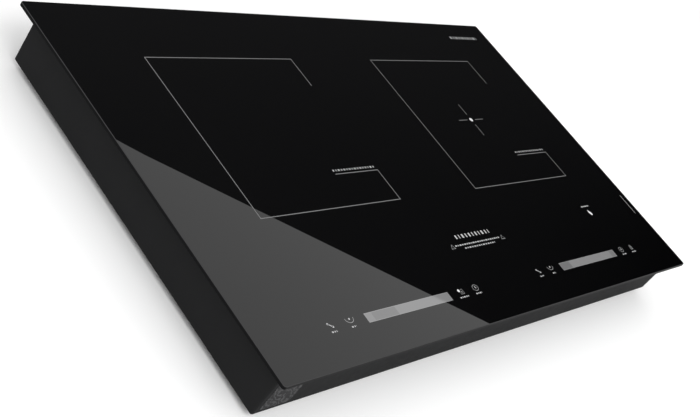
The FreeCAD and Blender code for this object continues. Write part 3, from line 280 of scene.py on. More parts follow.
def ink(name, shade):
    """Fired ceramic ink: slightly mottled and a little rough."""
    s = Shader(name)
    s.set(Metallic=0.0)
    dark = (shade * 0.90, shade * 0.90, shade * 0.91)
    s.join(s.blend(s.noise(700.0, 3.0), dark, (shade, shade, shade * 1.01)), "Base Color")
    s.join(s.between(s.noise(500.0, 2.0), 0.39, 0.51), "Roughness")
    s.bump(s.noise(2500.0, 2.0), 0.01 * MM, 0.4)
    return s.material


def window_film(name, shade):
    """Smoke-grey film of the slider windows: milky, under a polished face."""
    s = Shader(name)
    s.set(Metallic=0.0, IOR=1.75)
    dark = (shade * 0.96, shade * 0.96, shade * 0.97)
    s.join(s.blend(s.noise(160.0, 4.0), dark, (shade, shade, shade * 1.01)), "Base Color")
    s.join(s.between(s.noise(90.0, 3.0), 0.015, 0.035), "Roughness")
    return s.material


def label_foil():
    """Dull foil crossed by curling fine lines."""
    s = Shader("label_foil")
    s.set(Metallic=0.0, Specular_IOR_Level=0.04)
    curls = s.waves(85.0, 12.0, "DIAGONAL", 1.6)
    clouds = s.noise(150.0, 4.0)
    line = s.between(curls, 0.0, 1.0, 0.45, 1.0)
    patches = s.between(clouds, 0.0, 1.0, 0.35, 0.65)
    foil = s.blend(patches, (0.007, 0.007, 0.008), (0.026, 0.026, 0.027))
    s.join(s.blend(line, foil, (0.062, 0.062, 0.064)), "Base Color")
    s.join(s.between(clouds, 0.42, 0.60), "Roughness")
    s.bump(curls, 0.03 * MM, 0.5)
    return s.material


def simple(name, colour, rough, metal=0.0, grain=400.0, depth=0.03 * MM, vary=0.12):
    """A material with fine cloudy variation of tone, gloss and relief."""
    s = Shader(name)
    s.set(Metallic=metal)
    dark = tuple(c * (1.0 - vary) for c in colour)
    light = tuple(min(1.0, c * (1.0 + vary)) for c in colour)
    s.join(s.blend(s.noise(grain * 0.2, 4.0), dark, light), "Base Color")
    gloss = s.between(s.noise(grain * 0.5, 3.0), rough * 0.85, min(1.0, rough * 1.2), 0.3, 0.7)
    s.join(gloss, "Roughness")
    s.bump(s.noise(grain, 3.0), depth, 0.5)
    return s.material


def foam(name, colour):
    """Closed-cell foam or fibre: dense small cells."""
    s = Shader(name)
    s.set(Metallic=0.0, Roughness=0.95)
    cell = s.cells(1800.0)
    dark = tuple(c * 0.6 for c in colour)
    s.join(s.blend(s.between(cell, 0.0, 1.0, 0.1, 0.6), dark, colour), "Base Color")
    s.bump(cell, 0.15 * MM, 0.8)
    return s.material


def plated_steel(name, colour, rough):
    """Zinc-plated steel: faint crystal patches, fine scratches."""
    s = Shader(name)
    s.set(Metallic=1.0)
    crystal = s.parts_of(s.cells(220.0, "F1", "Color"))[0]
    cloud = s.calc("MULTIPLY", s.noise(90.0, 5.0), 0.5)
    tone = s.calc("ADD", s.calc("MULTIPLY", crystal, 0.5), cloud)
    s.join(s.blend(tone, tuple(c * 0.72 for c in colour), colour), "Base Color")
    scratches = s.noise(600.0, 4.0, s.stretched((1.0, 0.12, 1.0)))
    s.join(s.between(scratches, rough * 0.7, rough * 1.35), "Roughness")
    s.bump(s.noise(1500.0, 2.0, s.stretched((1.0, 0.1, 1.0))), 0.01 * MM, 0.4)
    return s.material


def drawn_metal(name, colour, rough, along):
    """Metal with fine lines along one axis, from rolling, drawing or extruding."""
    s = Shader(name)
    s.set(Metallic=1.0)
    scale = tuple(0.03 if letter == along else 1.0 for letter in "XYZ")
    lines = s.noise(1400.0, 3.0, s.stretched(scale))
    s.join(s.blend(lines, tuple(c * 0.78 for c in colour), colour), "Base Color")
    s.join(s.between(lines, rough * 0.7, rough * 1.4), "Roughness")
    s.bump(lines, 0.02 * MM, 0.4)
    return s.material


def twisted_wire(name, colour, rough, metal, twist):
    """Wire of many fine strands, seen as slanting lines."""
    s = Shader(name)
    s.set(Metallic=metal)
    strands = s.waves(twist, 1.5, "DIAGONAL")
    tone = s.blend(strands, tuple(c * 0.45 for c in colour), colour)
    s.join(s.blend(s.noise(120.0, 3.0), tone, tuple(c * 0.8 for c in colour)), "Base Color")
    s.join(s.between(strands, rough * 1.3, rough * 0.8), "Roughness")
    s.bump(strands, 0.1 * MM, 0.6)
    return s.material


def tracks_along(s, direction, block):
    """Evenly spaced tracks in one direction, only in the chosen blocks of a board."""
    lines = s.between(s.waves(130.0, 0.0, direction), 0.0, 1.0, 0.70, 0.80)
    return s.calc("MULTIPLY", lines, block)


def circuit_laminate():
    """Green lacquered board: blocks of copper tracks, along or across, and tinned pads in rows."""
    s = Shader("circuit_laminate")
    s.set(Metallic=0.0)
    turn, pour, pad = s.parts_of(s.cells(48.0, "F1", "Color", 1.0, "CHEBYCHEV"))
    turned = s.calc("GREATER_THAN", turn, 0.5)
    unturned = s.calc("SUBTRACT", 1.0, turned)
    lines = s.calc("ADD", tracks_along(s, "X", turned), tracks_along(s, "Y", unturned))
    poured = s.calc("GREATER_THAN", pour, 0.72)
    tracks = s.calc("MAXIMUM", lines, poured)
    lacquer = s.blend(s.noise(60.0, 3.0), (0.006, 0.060, 0.024), (0.009, 0.080, 0.032))
    tracked = s.blend(tracks, lacquer, (0.022, 0.150, 0.055))
    padded = s.calc("GREATER_THAN", pad, 0.55)
    dots = s.between(s.cells(200.0, "F1", "Distance", 0.0), 1.0, 0.0, 0.14, 0.18)
    pads = s.calc("MULTIPLY", dots, padded)
    s.join(s.blend(pads, tracked, (0.52, 0.52, 0.50)), "Base Color")
    s.join(s.between(s.noise(400.0, 2.0), 0.24, 0.36), "Roughness")
    s.bump(s.calc("ADD", tracks, pads), 0.05 * MM, 0.5)
    return s.material


def mica():
    """Pressed mica: amber flakes lying flat."""
    s = Shader("mica")
    s.set(Metallic=0.0)
    flakes = s.cells(160.0, "SMOOTH_F1")
    s.join(s.blend(flakes, (0.36, 0.30, 0.19), (0.66, 0.60, 0.45)), "Base Color")
    s.join(s.between(s.noise(300.0, 4.0), 0.22, 0.5), "Roughness")
    s.bump(flakes, 0.05 * MM, 0.5)
    return s.material


def clear(name, tint, rough):
    """Clear or milky see-through stuff with slight waviness."""
    s = Shader(name)
    s.set(Metallic=0.0, IOR=1.47, Transmission_Weight=0.85)
    s.join(s.blend(s.noise(50.0, 2.0), tint, tuple(min(1.0, c * 1.08) for c in tint)), "Base Color")
    s.join(s.between(s.noise(80.0, 3.0), rough * 0.7, rough * 1.3), "Roughness")
    s.bump(s.noise(200.0, 2.0), 0.02 * MM, 0.3)
    return s.material


def striped(name, ground, stripe, scale, direction, share=0.5):
    """Two-coloured insulation: bands of a second colour on a ground."""
    s = Shader(name)
    s.set(Metallic=0.0)
    band = s.between(s.waves(scale, 0.0, direction), 0.0, 1.0, share - 0.03, share + 0.03)
    s.join(s.blend(band, ground, stripe), "Base Color")
    s.join(s.between(s.noise(300.0, 3.0), 0.38, 0.52), "Roughness")
    s.bump(s.noise(900.0, 2.0), 0.02 * MM, 0.4)
    return s.material


def braided(name, colour):
    """Woven glass-fibre sleeve: two crossing sets of strands."""
    s = Shader(name)
    s.set(Metallic=0.0, Roughness=0.85)
    weave = s.calc("MULTIPLY", s.waves(900.0, 0.5, "DIAGONAL"), s.waves(900.0, 0.5, "X"))
    s.join(s.blend(weave, tuple(c * 0.55 for c in colour), colour), "Base Color")
    s.bump(weave, 0.12 * MM, 0.7)
    return s.material


BLACK_PLASTIC = (0.018, 0.018, 0.019)
DARK_PLASTIC = (0.024, 0.024, 0.025)
STEEL = (0.52, 0.52, 0.53)
WHITE_CERAMIC = (0.72, 0.69, 0.62)


def slot_materials():
    """One finish for each of the record's material slots."""
    return {
        "glass_black": black_glass(),
        "adhesive": simple("black_silicone", (0.008, 0.008, 0.008), 0.5, 0.0, 500.0),
        "seal_foam": foam("seal_foam", (0.016, 0.016, 0.017)),
        "housing_paint": powder_paint(),
        "label_foil": label_foil(),
        "foot_rubber": simple("foot_rubber", (0.014, 0.014, 0.015), 0.82, 0.0, 1200.0, 0.05 * MM),
        "screw_steel": plated_steel("screw_steel", STEEL, 0.30),
        "bracket_zinc": plated_steel("bracket_zinc", (0.60, 0.61, 0.60), 0.38),
        "gland_plastic": simple("gland_plastic", BLACK_PLASTIC, 0.48, 0.0, 900.0),
        "terminal_plastic": simple("terminal_plastic", (0.66, 0.63, 0.52), 0.42, 0.0, 700.0),
        "terminal_brass": plated_steel("terminal_brass", (0.72, 0.56, 0.26), 0.28),
        "post_steel": drawn_metal("post_steel", STEEL, 0.30, "Z"),
        "spring_steel": drawn_metal("spring_steel", (0.44, 0.44, 0.45), 0.26, "Z"),
        "plate_aluminium": drawn_metal("plate_aluminium", (0.74, 0.74, 0.75), 0.34, "X"),
        "ferrite": simple("ferrite", (0.030, 0.030, 0.033), 0.5, 0.0, 800.0, 0.05 * MM, 0.2),
        "carrier_plastic": simple("carrier_plastic", DARK_PLASTIC, 0.55, 0.0, 1500.0, 0.05 * MM),
        "copper_litz": twisted_wire("copper_litz", (0.62, 0.25, 0.10), 0.30, 0.85, 700.0),
        "mica": mica(),
        "silicone": simple("silicone", (0.62, 0.62, 0.58), 0.6, 0.0, 500.0),
        "sensor_cap": drawn_metal("sensor_cap", (0.66, 0.66, 0.67), 0.24, "Z"),
        "heater_steel": plated_steel("heater_steel", (0.56, 0.55, 0.53), 0.36),
        "insulation": foam("insulation", (0.80, 0.78, 0.72)),
        "ribbon_alloy": drawn_metal("ribbon_alloy", (0.22, 0.19, 0.17), 0.45, "Z"),
        "quartz": clear("quartz", (0.90, 0.90, 0.90), 0.05),
        "steatite": simple("steatite", WHITE_CERAMIC, 0.55, 0.0, 700.0, 0.06 * MM),
        "fan_plastic": simple("fan_plastic", BLACK_PLASTIC, 0.42, 0.0, 1100.0),
        "rotor_plastic": simple("rotor_plastic", (0.022, 0.022, 0.024), 0.32, 0.0, 900.0),
        "board_laminate": circuit_laminate(),
        "tray_plastic": simple("tray_plastic", (0.50, 0.50, 0.48), 0.46, 0.0, 900.0),
        "standoff_nylon": simple("standoff_nylon", (0.66, 0.65, 0.60), 0.5, 0.0, 800.0),
        "sink_aluminium": drawn_metal("sink_aluminium", (0.70, 0.70, 0.71), 0.36, "Y"),
        "chip_epoxy": simple("chip_epoxy", (0.020, 0.020, 0.022), 0.6, 0.0, 1600.0, 0.03 * MM),
        "capacitor_case": simple("capacitor_case", (0.62, 0.38, 0.03), 0.35, 0.0, 600.0),
        "choke_winding": twisted_wire("choke_winding", (0.55, 0.20, 0.06), 0.22, 0.8, 250.0),
        "relay_case": simple("relay_case", (0.015, 0.06, 0.20), 0.38, 0.0, 700.0),
        "fuse_glass": simple("fuse_caps", (0.58, 0.58, 0.57), 0.25, 0.9, 500.0),
        "transformer_tape": simple("transformer_tape", (0.62, 0.46, 0.04), 0.34, 0.0, 500.0),
        "connector_nylon": simple("connector_nylon", (0.72, 0.71, 0.66), 0.42, 0.0, 700.0),
        "light_guide": clear("light_guide", (0.86, 0.86, 0.86), 0.45),
        "lead_sleeve": braided("lead_sleeve", (0.045, 0.045, 0.048)),
        "lead_glassfibre": braided("lead_glassfibre", (0.70, 0.68, 0.62)),
        "lead_pvc": simple("lead_pvc", (0.16, 0.06, 0.025), 0.4, 0.0, 500.0),
        "cable_flat": striped("cable_flat", (0.40, 0.40, 0.41), (0.30, 0.30, 0.31), 250.0, "X"),
    }


MATERIALS = slot_materials()


def finish_nodes():
    """Gives every CAD node the finish of its slot."""
    for part in frame["record"]["subparts"]:
        mesh = frame["nodes"][part["node"]].data
        mesh.materials.clear()
        mesh.materials.append(MATERIALS[part["material_slot"]])


# ---------------------------------------------------------------- pieces
def add_piece(name, mesh, body, slot, material=None, smooth=True):
    """Turns a bmesh into a named piece riding on a body, in its slot's finish or one of its own."""
    bmesh.ops.recalc_face_normals(mesh, faces=mesh.faces)
    data = bpy.data.meshes.new(name)
    mesh.to_mesh(data)
    mesh.free()
    for face in data.polygons:
        face.use_smooth = smooth
    data.materials.append(material or MATERIALS[slot])
    thing = bpy.data.objects.new(name, data)
    bpy.context.scene.collection.objects.link(thing)
    if body:
        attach(thing, body)
    return thing


def loft(mesh, rings, closed=False):
    """Adds a skin over rings of points in a row, capped at both ends unless it closes on itself."""
    loops = [[mesh.verts.new(point) for point in ring] for ring in rings]
    pairs = list(zip(loops, loops[1:]))
    if closed:
        pairs.append((loops[-1], loops[0]))
    for near, far in pairs:
        count = len(near)
        for i in range(count):
            j = (i + 1) % count
            mesh.faces.new((near[i], near[j], far[j], far[i]))
    if not closed:
        mesh.faces.new(list(reversed(loops[0])))
        mesh.faces.new(loops[-1])


def tube_rings(path, radius, sides):
    """Round rings square to a path, carried along it without twist."""
    rings = []
    normal = None
    last = len(path) - 1
    for i, point in enumerate(path):
        along = (path[min(i + 1, last)] - path[max(i - 1, 0)]).normalized()
        if normal is None:
            normal = along.orthogonal()
        normal = (normal - along * normal.dot(along)).normalized()
        side = along.cross(normal)
        ring = []
        for k in range(sides):
            angle = TURN * k / sides
            ring.append(point + (normal * math.cos(angle) + side * math.sin(angle)) * radius)
        rings.append(ring)
    return rings


def islands(node):
    """The separate solids of a CAD node's mesh, from left to right: each one's box and faces."""
    mesh = bmesh.new()
    mesh.from_mesh(frame["nodes"][node].data)
    bmesh.ops.remove_doubles(mesh, verts=mesh.verts, dist=WELD)
    found = []
    seen = set()
    for start in mesh.verts:
        if start in seen:
            continue
        seen.add(start)
        group = [start]
        for vert in group:
            for edge in vert.link_edges:
                other = edge.other_vert(vert)
                if other not in seen:
                    seen.add(other)
                    group.append(other)
        places = [vert.co for vert in group]
        low = Vector([min(p[k] for p in places) for k in range(3)])
        high = Vector([max(p[k] for p in places) for k in range(3)])
        members = set(group)
        faces = [[v.co.copy() for v in f.verts] for f in mesh.faces if f.verts[0] in members]
        found.append((low, high, faces))
    mesh.free()
    return sorted(found, key=lambda island: (round(island[0].x, 4), round(island[0].y, 4)))


def copy_islands(name, chosen, body, node, slot, material):
    """A piece with the same shape as some solids of a CAD node, in a finish of its own."""
    mesh = bmesh.new()
    for _, _, faces in chosen:
        for face in faces:
            mesh.faces.new([mesh.verts.new(co) for co in face])
    bmesh.ops.remove_doubles(mesh, verts=mesh.verts, dist=WELD)
    thing = add_piece(name, mesh, body, slot, material)
    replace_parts(thing, node)
    return thing


# ---------------------------------------------------------------- printing on the glass
PRINT_THICK = 0.02 * MM
PRINT_SUNK = 0.01 * MM
PRINT_MITRE = 0.4
ARC_STEP = 12.0
ARC_STEPS_LEAST = 6
DISC_STEPS = 20
DASH_SHARES = (1.0, 0.6, 1.25, 0.8, 1.1, 0.7)
ZONE_LINE = 0.88
ICON_LINE = 0.6
THIN_LINE = 0.5
THICK_LINE = 0.8


class Artwork:
    """Flat printing on the glass, in millimetres from the glass's front left corner."""

    def __init__(self):
        self.mesh = bmesh.new()

    def shape(self, points):
        """A filled outline, as a thin plate whose underside is sunk in the glass."""
        rings = []
        for height in (-PRINT_SUNK, PRINT_THICK):
            rings.append([GLASS_CORNER + Vector((x * MM, y * MM, height)) for x, y in points])
        loft(self.mesh, rings)

    def bar(self, x0, x1, y0, y1):
        """A filled rectangle."""
        self.shape(((x0, y0), (x1, y0), (x1, y1), (x0, y1)))

    def stroke(self, points, width, closed=False):
        """A line of a given width through the points, with mitred corners."""
        ends = len(points)
        inner = []
        outer = []
        for i, (x, y) in enumerate(points):
            ways = []
            if closed or i > 0:
                before = points[i - 1]
                ways.append(Vector((x - before[0], y - before[1])).normalized())
            if closed or i + 1 < ends:
                after = points[(i + 1) % ends]
                ways.append(Vector((after[0] - x, after[1] - y)).normalized())
            way = sum(ways, Vector((0.0, 0.0))).normalized()
            side = Vector((-way.y, way.x)) * (width / 2.0 / max(way.dot(ways[0]), PRINT_MITRE))
            inner.append((x + side.x, y + side.y))
            outer.append((x - side.x, y - side.y))
        for i in range(ends if closed else ends - 1):
            j = (i + 1) % ends
            self.shape((outer[i], outer[j], inner[j], inner[i]))

    def box(self, x0, x1, y0, y1, width):
        """The outline of a rectangle, drawn just inside it."""
        half = width / 2.0
        x0, x1 = x0 + half, x1 - half
        y0, y1 = y0 + half, y1 - half
        self.stroke(((x0, y0), (x1, y0), (x1, y1), (x0, y1)), width, True)

    def arc(self, x, y, radius, start, end, width, squash=1.0):
        """A curved stroke about (x, y), between two angles in degrees."""
        steps = max(ARC_STEPS_LEAST, int(abs(end - start) / ARC_STEP))
        points = []
        for i in range(steps + 1):
            angle = math.radians(start + (end - start) * i / steps)
            points.append((x + radius * math.cos(angle), y + radius * squash * math.sin(angle)))
        closed = abs(end - start) >= 360.0
        self.stroke(points[:-1] if closed else points, width, closed)

    def disc(self, x, y, radius):
        """A filled circle."""
        angles = [TURN * i / DISC_STEPS for i in range(DISC_STEPS)]
        self.shape([(x + radius * math.cos(a), y + radius * math.sin(a)) for a in angles])

    def dashes(self, x0, x1, y, height, length, gap):
        """A row of plain uneven dashes that stands in for a line of print."""
        x = x0
        i = 0
        while x < x1:
            end = x + length * DASH_SHARES[i % len(DASH_SHARES)]
            self.bar(x, min(end, x1), y - height / 2.0, y + height / 2.0)
            x = end + gap
            i += 1

    def finish(self, name, material):
        """Makes the printing a piece of its own."""
        add_piece(name, self.mesh, BASE_BODY, "glass_black", material, False)


class Prints:
    """The printing's four shades of ink."""

    def __init__(self):
        self.bright = Artwork()
        self.white = Artwork()
        self.pale = Artwork()
        self.grey = Artwork()

    def finish(self):
        """Lays each shade on the glass as a piece of its own."""
        self.bright.finish("print_bright", ink("ink_bright", 0.72))
        self.white.finish("print_white", ink("ink_white", 0.48))
        self.pale.finish("print_pale", ink("ink_pale", 0.27))
        self.grey.finish("print_grey", ink("ink_grey", 0.172))


def on_glass(point):
    """A place in the frame, as millimetres from the glass's front left corner."""
    return (point.x - GLASS_CORNER.x) / MM, (point.y - GLASS_CORNER.y) / MM


def middle_on_glass(node):
    """The middle of a CAD node, as millimetres from the glass's front left corner."""
    low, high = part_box(node)
    return on_glass((low + high) / 2.0)


ZONE_HALF = 100.4
ZONE_STUB = 40.0
ZONE_TICK = 66.0
ZONE_DASHES_UP = 4.6
ZONE_DASHES_SHORT = 0.5
# a dash's height, length and gap
ZONE_DASHES = (2.3, 1.7, 2.6)


def zone_marks(prints, node):
    """A square round a zone with its right side open, a tick into it and dashes behind the tick."""
    x, y = middle_on_glass(node)
    left = x - ZONE_HALF
    right = x + ZONE_HALF
    front = y - ZONE_HALF
    back = y + ZONE_HALF
    tick = front + ZONE_STUB
    path = (
        (right, back - ZONE_STUB),
        (right, back),
        (left, back),
        (left, front),
        (right, front),
        (right, tick),
        (right - ZONE_TICK, tick),
    )
    prints.grey.stroke(path, ZONE_LINE)
    end = right - ZONE_DASHES_SHORT
    prints.white.dashes(right - ZONE_TICK, end, tick + ZONE_DASHES_UP, *ZONE_DASHES)


CROSS_IN = 8.0
CROSS_OUT = 25.5
DOT_RADIUS = 2.8


def cross_marks(prints, node):
    """A dot in a zone's middle and four short arms round it."""
    x, y = middle_on_glass(node)
    prints.bright.disc(x, y, DOT_RADIUS)
    for dx, dy in ((1.0, 0.0), (-1.0, 0.0), (0.0, 1.0), (0.0, -1.0)):
        near = (x + dx * CROSS_IN, y + dy * CROSS_IN)
        far = (x + dx * CROSS_OUT, y + dy * CROSS_OUT)
        prints.grey.stroke((near, far), THICK_LINE)


def link_icon(prints, x, y):
    """Two dots joined by a bar."""
    ends = ((x - 2.1, y + 1.8), (x + 2.1, y - 1.8))
    for end in ends:
        prints.white.disc(*end, 1.1)
    prints.white.stroke(ends, 0.9)


def bowl_icon(prints, x, y):
    """A half round with a dot in it."""
    prints.pale.arc(x, y + 2.4, 5.2, 180.0, 360.0, ICON_LINE, 0.92)
    prints.white.disc(x, y + 1.5, 1.0)


def dial_icon(prints, x, y):
    """A thin ring with two hands."""
    prints.pale.arc(x, y, 4.2, 0.0, 360.0, THIN_LINE, 0.82)
    prints.white.stroke(((x, y + 1.9), (x, y), (x + 1.5, y - 0.7)), THICK_LINE)


def pot_icon(prints, x, y):
    """A bright dot beside a faint open pot."""
    prints.bright.disc(x - 2.3, y + 1.3, 1.7)
    left = x - 1.4
    right = x + 3.8
    base = y - 3.0
    top = y + 2.2
    pot = ((left, y - 0.8), (left, base), (right, base), (right, top), (x + 1.2, top))
    prints.grey.stroke(pot, ICON_LINE)
    prints.grey.bar(x + 0.4, x + 2.2, y - 1.6, y + 0.2)


def lock_icon(prints, x, y):
    """A rounded body under a hoop."""
    prints.pale.box(x - 2.7, x + 2.7, y - 3.2, y + 0.6, ICON_LINE)
    prints.pale.arc(x, y + 0.3, 2.0, 0.0, 180.0, ICON_LINE, 1.3)
    prints.pale.disc(x, y - 1.3, 0.7)


# each key, from left to right: its icon, how far right of the key that is, and its dashes' width
KEY_ICONS = (
    (link_icon, -2.2, 6.6),
    (bowl_icon, -1.6, 6.0),
    (pot_icon, -0.4, 13.6),
    (dial_icon, -0.7, 10.0),
    (link_icon, -0.6, 6.8),
    (bowl_icon, -0.6, 6.0),
    (dial_icon, 0.4, 8.6),
    (lock_icon, 0.5, 9.8),
)
KEY_ICON_UP = 0.2
KEY_DASHES_DROP = 6.4
KEY_DASHES = (1.5, 2.0, 1.3)


def key_marks(prints):
    """An icon and a row of dashes for every touch key."""
    for (low, high, _), (icon, off, width) in zip(islands("touch_springs"), KEY_ICONS):
        x, y = on_glass((low + high) / 2.0)
        x += off
        half = width / 2.0
        icon(prints, x, y + KEY_ICON_UP)
        prints.white.dashes(x - half, x + half, y - KEY_DASHES_DROP, *KEY_DASHES)


# each row's left and right ends and distance back, then a dash's height, length and gap
MIDDLE_ROWS = (
    (334.0, 395.0, 101.8, 4.8, 2.3, 3.9),
    (323.5, 404.2, 91.6, 1.6, 2.6, 1.6),
    (336.2, 391.4, 87.0, 1.5, 2.6, 1.8),
)
DROP_ROW = (608.0, 626.0, 109.7, 1.6, 3.4, 1.3)
CORNER_ROW = (640.0, 701.0, 403.5, 4.4, 4.4, 2.6)
TRIANGLE_PLACES = (318.4, 410.4)
TRIANGLE_HALF = 3.2
TRIANGLE_BASE = 88.9
TRIANGLE_TOP = 93.8


def middle_marks(prints):
    """In the middle: blank blocks, and two rows of dashes between two blank triangles."""
    for row in MIDDLE_ROWS:
        prints.white.dashes(*row)
    for x in TRIANGLE_PLACES:
        left = (x - TRIANGLE_HALF, TRIANGLE_BASE)
        right = (x + TRIANGLE_HALF, TRIANGLE_BASE)
        prints.pale.stroke((left, right, (x, TRIANGLE_TOP)), THIN_LINE, True)


DROP_PLACE = (616.6, 99.8)
DROP_HALF_WIDTH = 2.5
DROP_HALF_HEIGHT = 4.3
DROP_LEAN = 1.4
DROP_TAPER = 0.75
DROP_STEPS = 24
EDGE_LINE = ((718.5, 85.7), (718.5, 116.2))


def drop_outline():
    """A leaning drop, narrow at its top."""
    x, y = DROP_PLACE
    outline = []
    for i in range(DROP_STEPS):
        angle = TURN * i / DROP_STEPS
        taper = 1.0 - DROP_TAPER * max(0.0, math.sin(angle))
        across = DROP_HALF_WIDTH * taper * math.cos(angle) - DROP_LEAN * math.sin(angle)
        outline.append((x + across, y + DROP_HALF_HEIGHT * math.sin(angle)))
    return outline


def side_marks(prints):
    """On the right: a drop with dashes behind it, a thin line at the edge, blocks at the back."""
    prints.bright.shape(drop_outline())
    prints.white.dashes(*DROP_ROW)
    prints.white.stroke(EDGE_LINE, ICON_LINE)
    prints.pale.dashes(*CORNER_ROW)


def add_printing():
    """All the printing on the glass."""
    prints = Prints()
    zone_marks(prints, "induction_coil")
    zone_marks(prints, "heater_dish")
    cross_marks(prints, "heater_dish")
    key_marks(prints)
    middle_marks(prints)
    side_marks(prints)
    prints.finish()


WINDOW_INSET = 0.3
WINDOW_RIM = 0.5
WINDOW_RIM_SHADE = 0.265
# each slider window: where each of its lengths ends, and that length's shade
WINDOW_LENGTHS = {
    "left": ((9.5, 0.200), (43.0, 0.160), (126.0, 0.208)),
    "right": ((21.0, 0.169), (115.0, 0.235), (126.0, 0.185)),
}


def add_windows():
    """The grey slider windows over the light guides, each in three shades, with a paler rim."""
    rims = Artwork()
    for side, (low, high, _) in zip(("left", "right"), islands("light_bars")):
        x0, y0 = on_glass(low)
        x1, y1 = on_glass(high)
        x0, x1 = x0 + WINDOW_INSET, x1 - WINDOW_INSET
        y0, y1 = y0 + WINDOW_INSET, y1 - WINDOW_INSET
        rims.box(x0, x1, y0, y1, WINDOW_RIM)
        start = x0 + WINDOW_RIM
        for i, (end, shade) in enumerate(WINDOW_LENGTHS[side]):
            end = min(x0 + end, x1 - WINDOW_RIM)
            pane = Artwork()
            pane.bar(start, end, y0 + WINDOW_RIM, y1 - WINDOW_RIM)
            pane.finish(f"slider_{side}_{i + 1}", window_film(f"film_{side}_{i + 1}", shade))
            start = end
    rims.finish("slider_rims", window_film("film_rim", WINDOW_RIM_SHADE))


# ---------------------------------------------------------------- springs, coils and windings
def around(middle, radius, angle):
    """The point at a level angle and a distance from a middle."""
    return middle + Vector((radius * math.cos(angle), radius * math.sin(angle), 0.0))


SPRING_STEPS = 20
SPRING_FLAT = 0.8
SPRING_SIDES = 8
# each kind of spring's wire radius and turns, and the share of its length that a unit's spring keeps
UNIT_SPRING = (0.55 * MM, 7.5)
UNIT_SPRING_KEPT = 0.85
TOUCH_SPRING = (0.35 * MM, 4.5)


def spring_path(low, high, wire, turns):
    """The middle line of a coil spring that fills a box, with its end turns lying flat."""
    x = (low.x + high.x) / 2.0
    y = (low.y + high.y) / 2.0
    radius = (high.x - low.x) / 2.0 - wire
    base = low.z + wire
    rise = high.z - low.z - 2.0 * wire
    steps = int(turns * SPRING_STEPS)
    path = []
    for i in range(steps + 1):
        turn = turns * i / steps
        share = min(max((turn - SPRING_FLAT) / (turns - 2.0 * SPRING_FLAT), 0.0), 1.0)
        path.append(around(Vector((x, y, base + rise * share)), radius, TURN * turn))
    return path


def add_springs(node, wire, turns, joint=None, keep=1.0):
    """Coil springs in place of a CAD node's sleeves; with a joint, the piece gets a mesh of its own.
    """
    mesh = bmesh.new()
    boxes = islands(node)
    for low, high, _ in boxes:
        loft(mesh, tube_rings(spring_path(low, high, wire, turns), wire, SPRING_SIDES))
    thing = add_piece(f"{node}_wire", mesh, BASE_BODY, "spring_steel")
    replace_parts(thing, node)
    if joint:
        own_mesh(thing)


COIL_TURNS = 20
COIL_STEPS = 72
COIL_PITCH = 3.2 * MM
COIL_STRAND = 1.52 * MM
COIL_LIFT = 0.1 * MM
COIL_SIDES = 8


def add_induction_coil():
    """The flat spiral of litz wire."""
    low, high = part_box("induction_coil")
    middle = (low + high) / 2.0
    middle.z = low.z + COIL_STRAND + COIL_LIFT
    outer = (high.x - low.x) / 2.0
    inner = outer - COIL_TURNS * COIL_PITCH
    steps = COIL_TURNS * COIL_STEPS
    path = []
    for i in range(steps + 1):
        turn = COIL_TURNS * i / steps
        radius = min(inner + COIL_PITCH / 2.0 + COIL_PITCH * turn, outer - COIL_STRAND)
        path.append(around(middle, radius, TURN * turn))
    mesh = bmesh.new()
    loft(mesh, tube_rings(path, COIL_STRAND, COIL_SIDES))
    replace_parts(add_piece("litz_spiral", mesh, COIL_BODY, "copper_litz"), "induction_coil")


CHOKE_WIRE = 0.55 * MM
CHOKE_WIRE_SIDES = 6
CHOKE_CORE_INSET = 2.1 * CHOKE_WIRE
CHOKE_CORE_STEPS = 48
CHOKE_CORE_SIDES = 12
CHOKE_STARTS = (12.0, 192.0)
CHOKE_SPAN = 156.0
CHOKE_TURNS = 12
CHOKE_TURN_STEPS = 16


def torus_point(middle, ring, radius, angle, turn):
    """A point on a lying ring's skin: its angle round the ring, and its turn round the section."""
    out = Vector((math.cos(angle), math.sin(angle), 0.0))
    return middle + out * (ring + radius * math.cos(turn)) + UP * radius * math.sin(turn)


def add_choke():
    """The filter choke: a ring core and two windings of thick wire, with a gap between them."""
    low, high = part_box("choke_coil")
    middle = (low + high) / 2.0
    thick = (high.z - low.z) / 2.0
    ring = (high.x - low.x) / 2.0 - thick
    rings = []
    for i in range(CHOKE_CORE_STEPS):
        angle = TURN * i / CHOKE_CORE_STEPS
        turns = [TURN * k / CHOKE_CORE_SIDES for k in range(CHOKE_CORE_SIDES)]
        rings.append([torus_point(middle, ring, thick - CHOKE_CORE_INSET, angle, t) for t in turns])
    core = bmesh.new()
    loft(core, rings, True)
    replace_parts(add_piece("choke_core", core, BASE_BODY, "ferrite"), "choke_coil")
    wire = bmesh.new()
    steps = CHOKE_TURNS * CHOKE_TURN_STEPS
    for start in CHOKE_STARTS:
        path = []
        for i in range(steps + 1):
            angle = math.radians(start + CHOKE_SPAN * i / steps)
            turn = TURN * CHOKE_TURNS * i / steps
            path.append(torus_point(middle, ring, thick - CHOKE_WIRE, angle, turn))
        loft(wire, tube_rings(path, CHOKE_WIRE, CHOKE_WIRE_SIDES))
    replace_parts(add_piece("choke_windings", wire, BASE_BODY, "choke_winding"), "choke_coil")


RIBBON_RINGS = 7
RIBBON_PITCH = 10.0 * MM
RIBBON_FIRST = 18.4 * MM
RIBBON_GAP = 4.4 * MM
RIBBON_WAVE = 0.28 * MM
RIBBON_WAVE_LENGTH = 3.2 * MM
RIBBON_WAVE_STEPS = 6
RIBBON_FOIL = 0.12 * MM


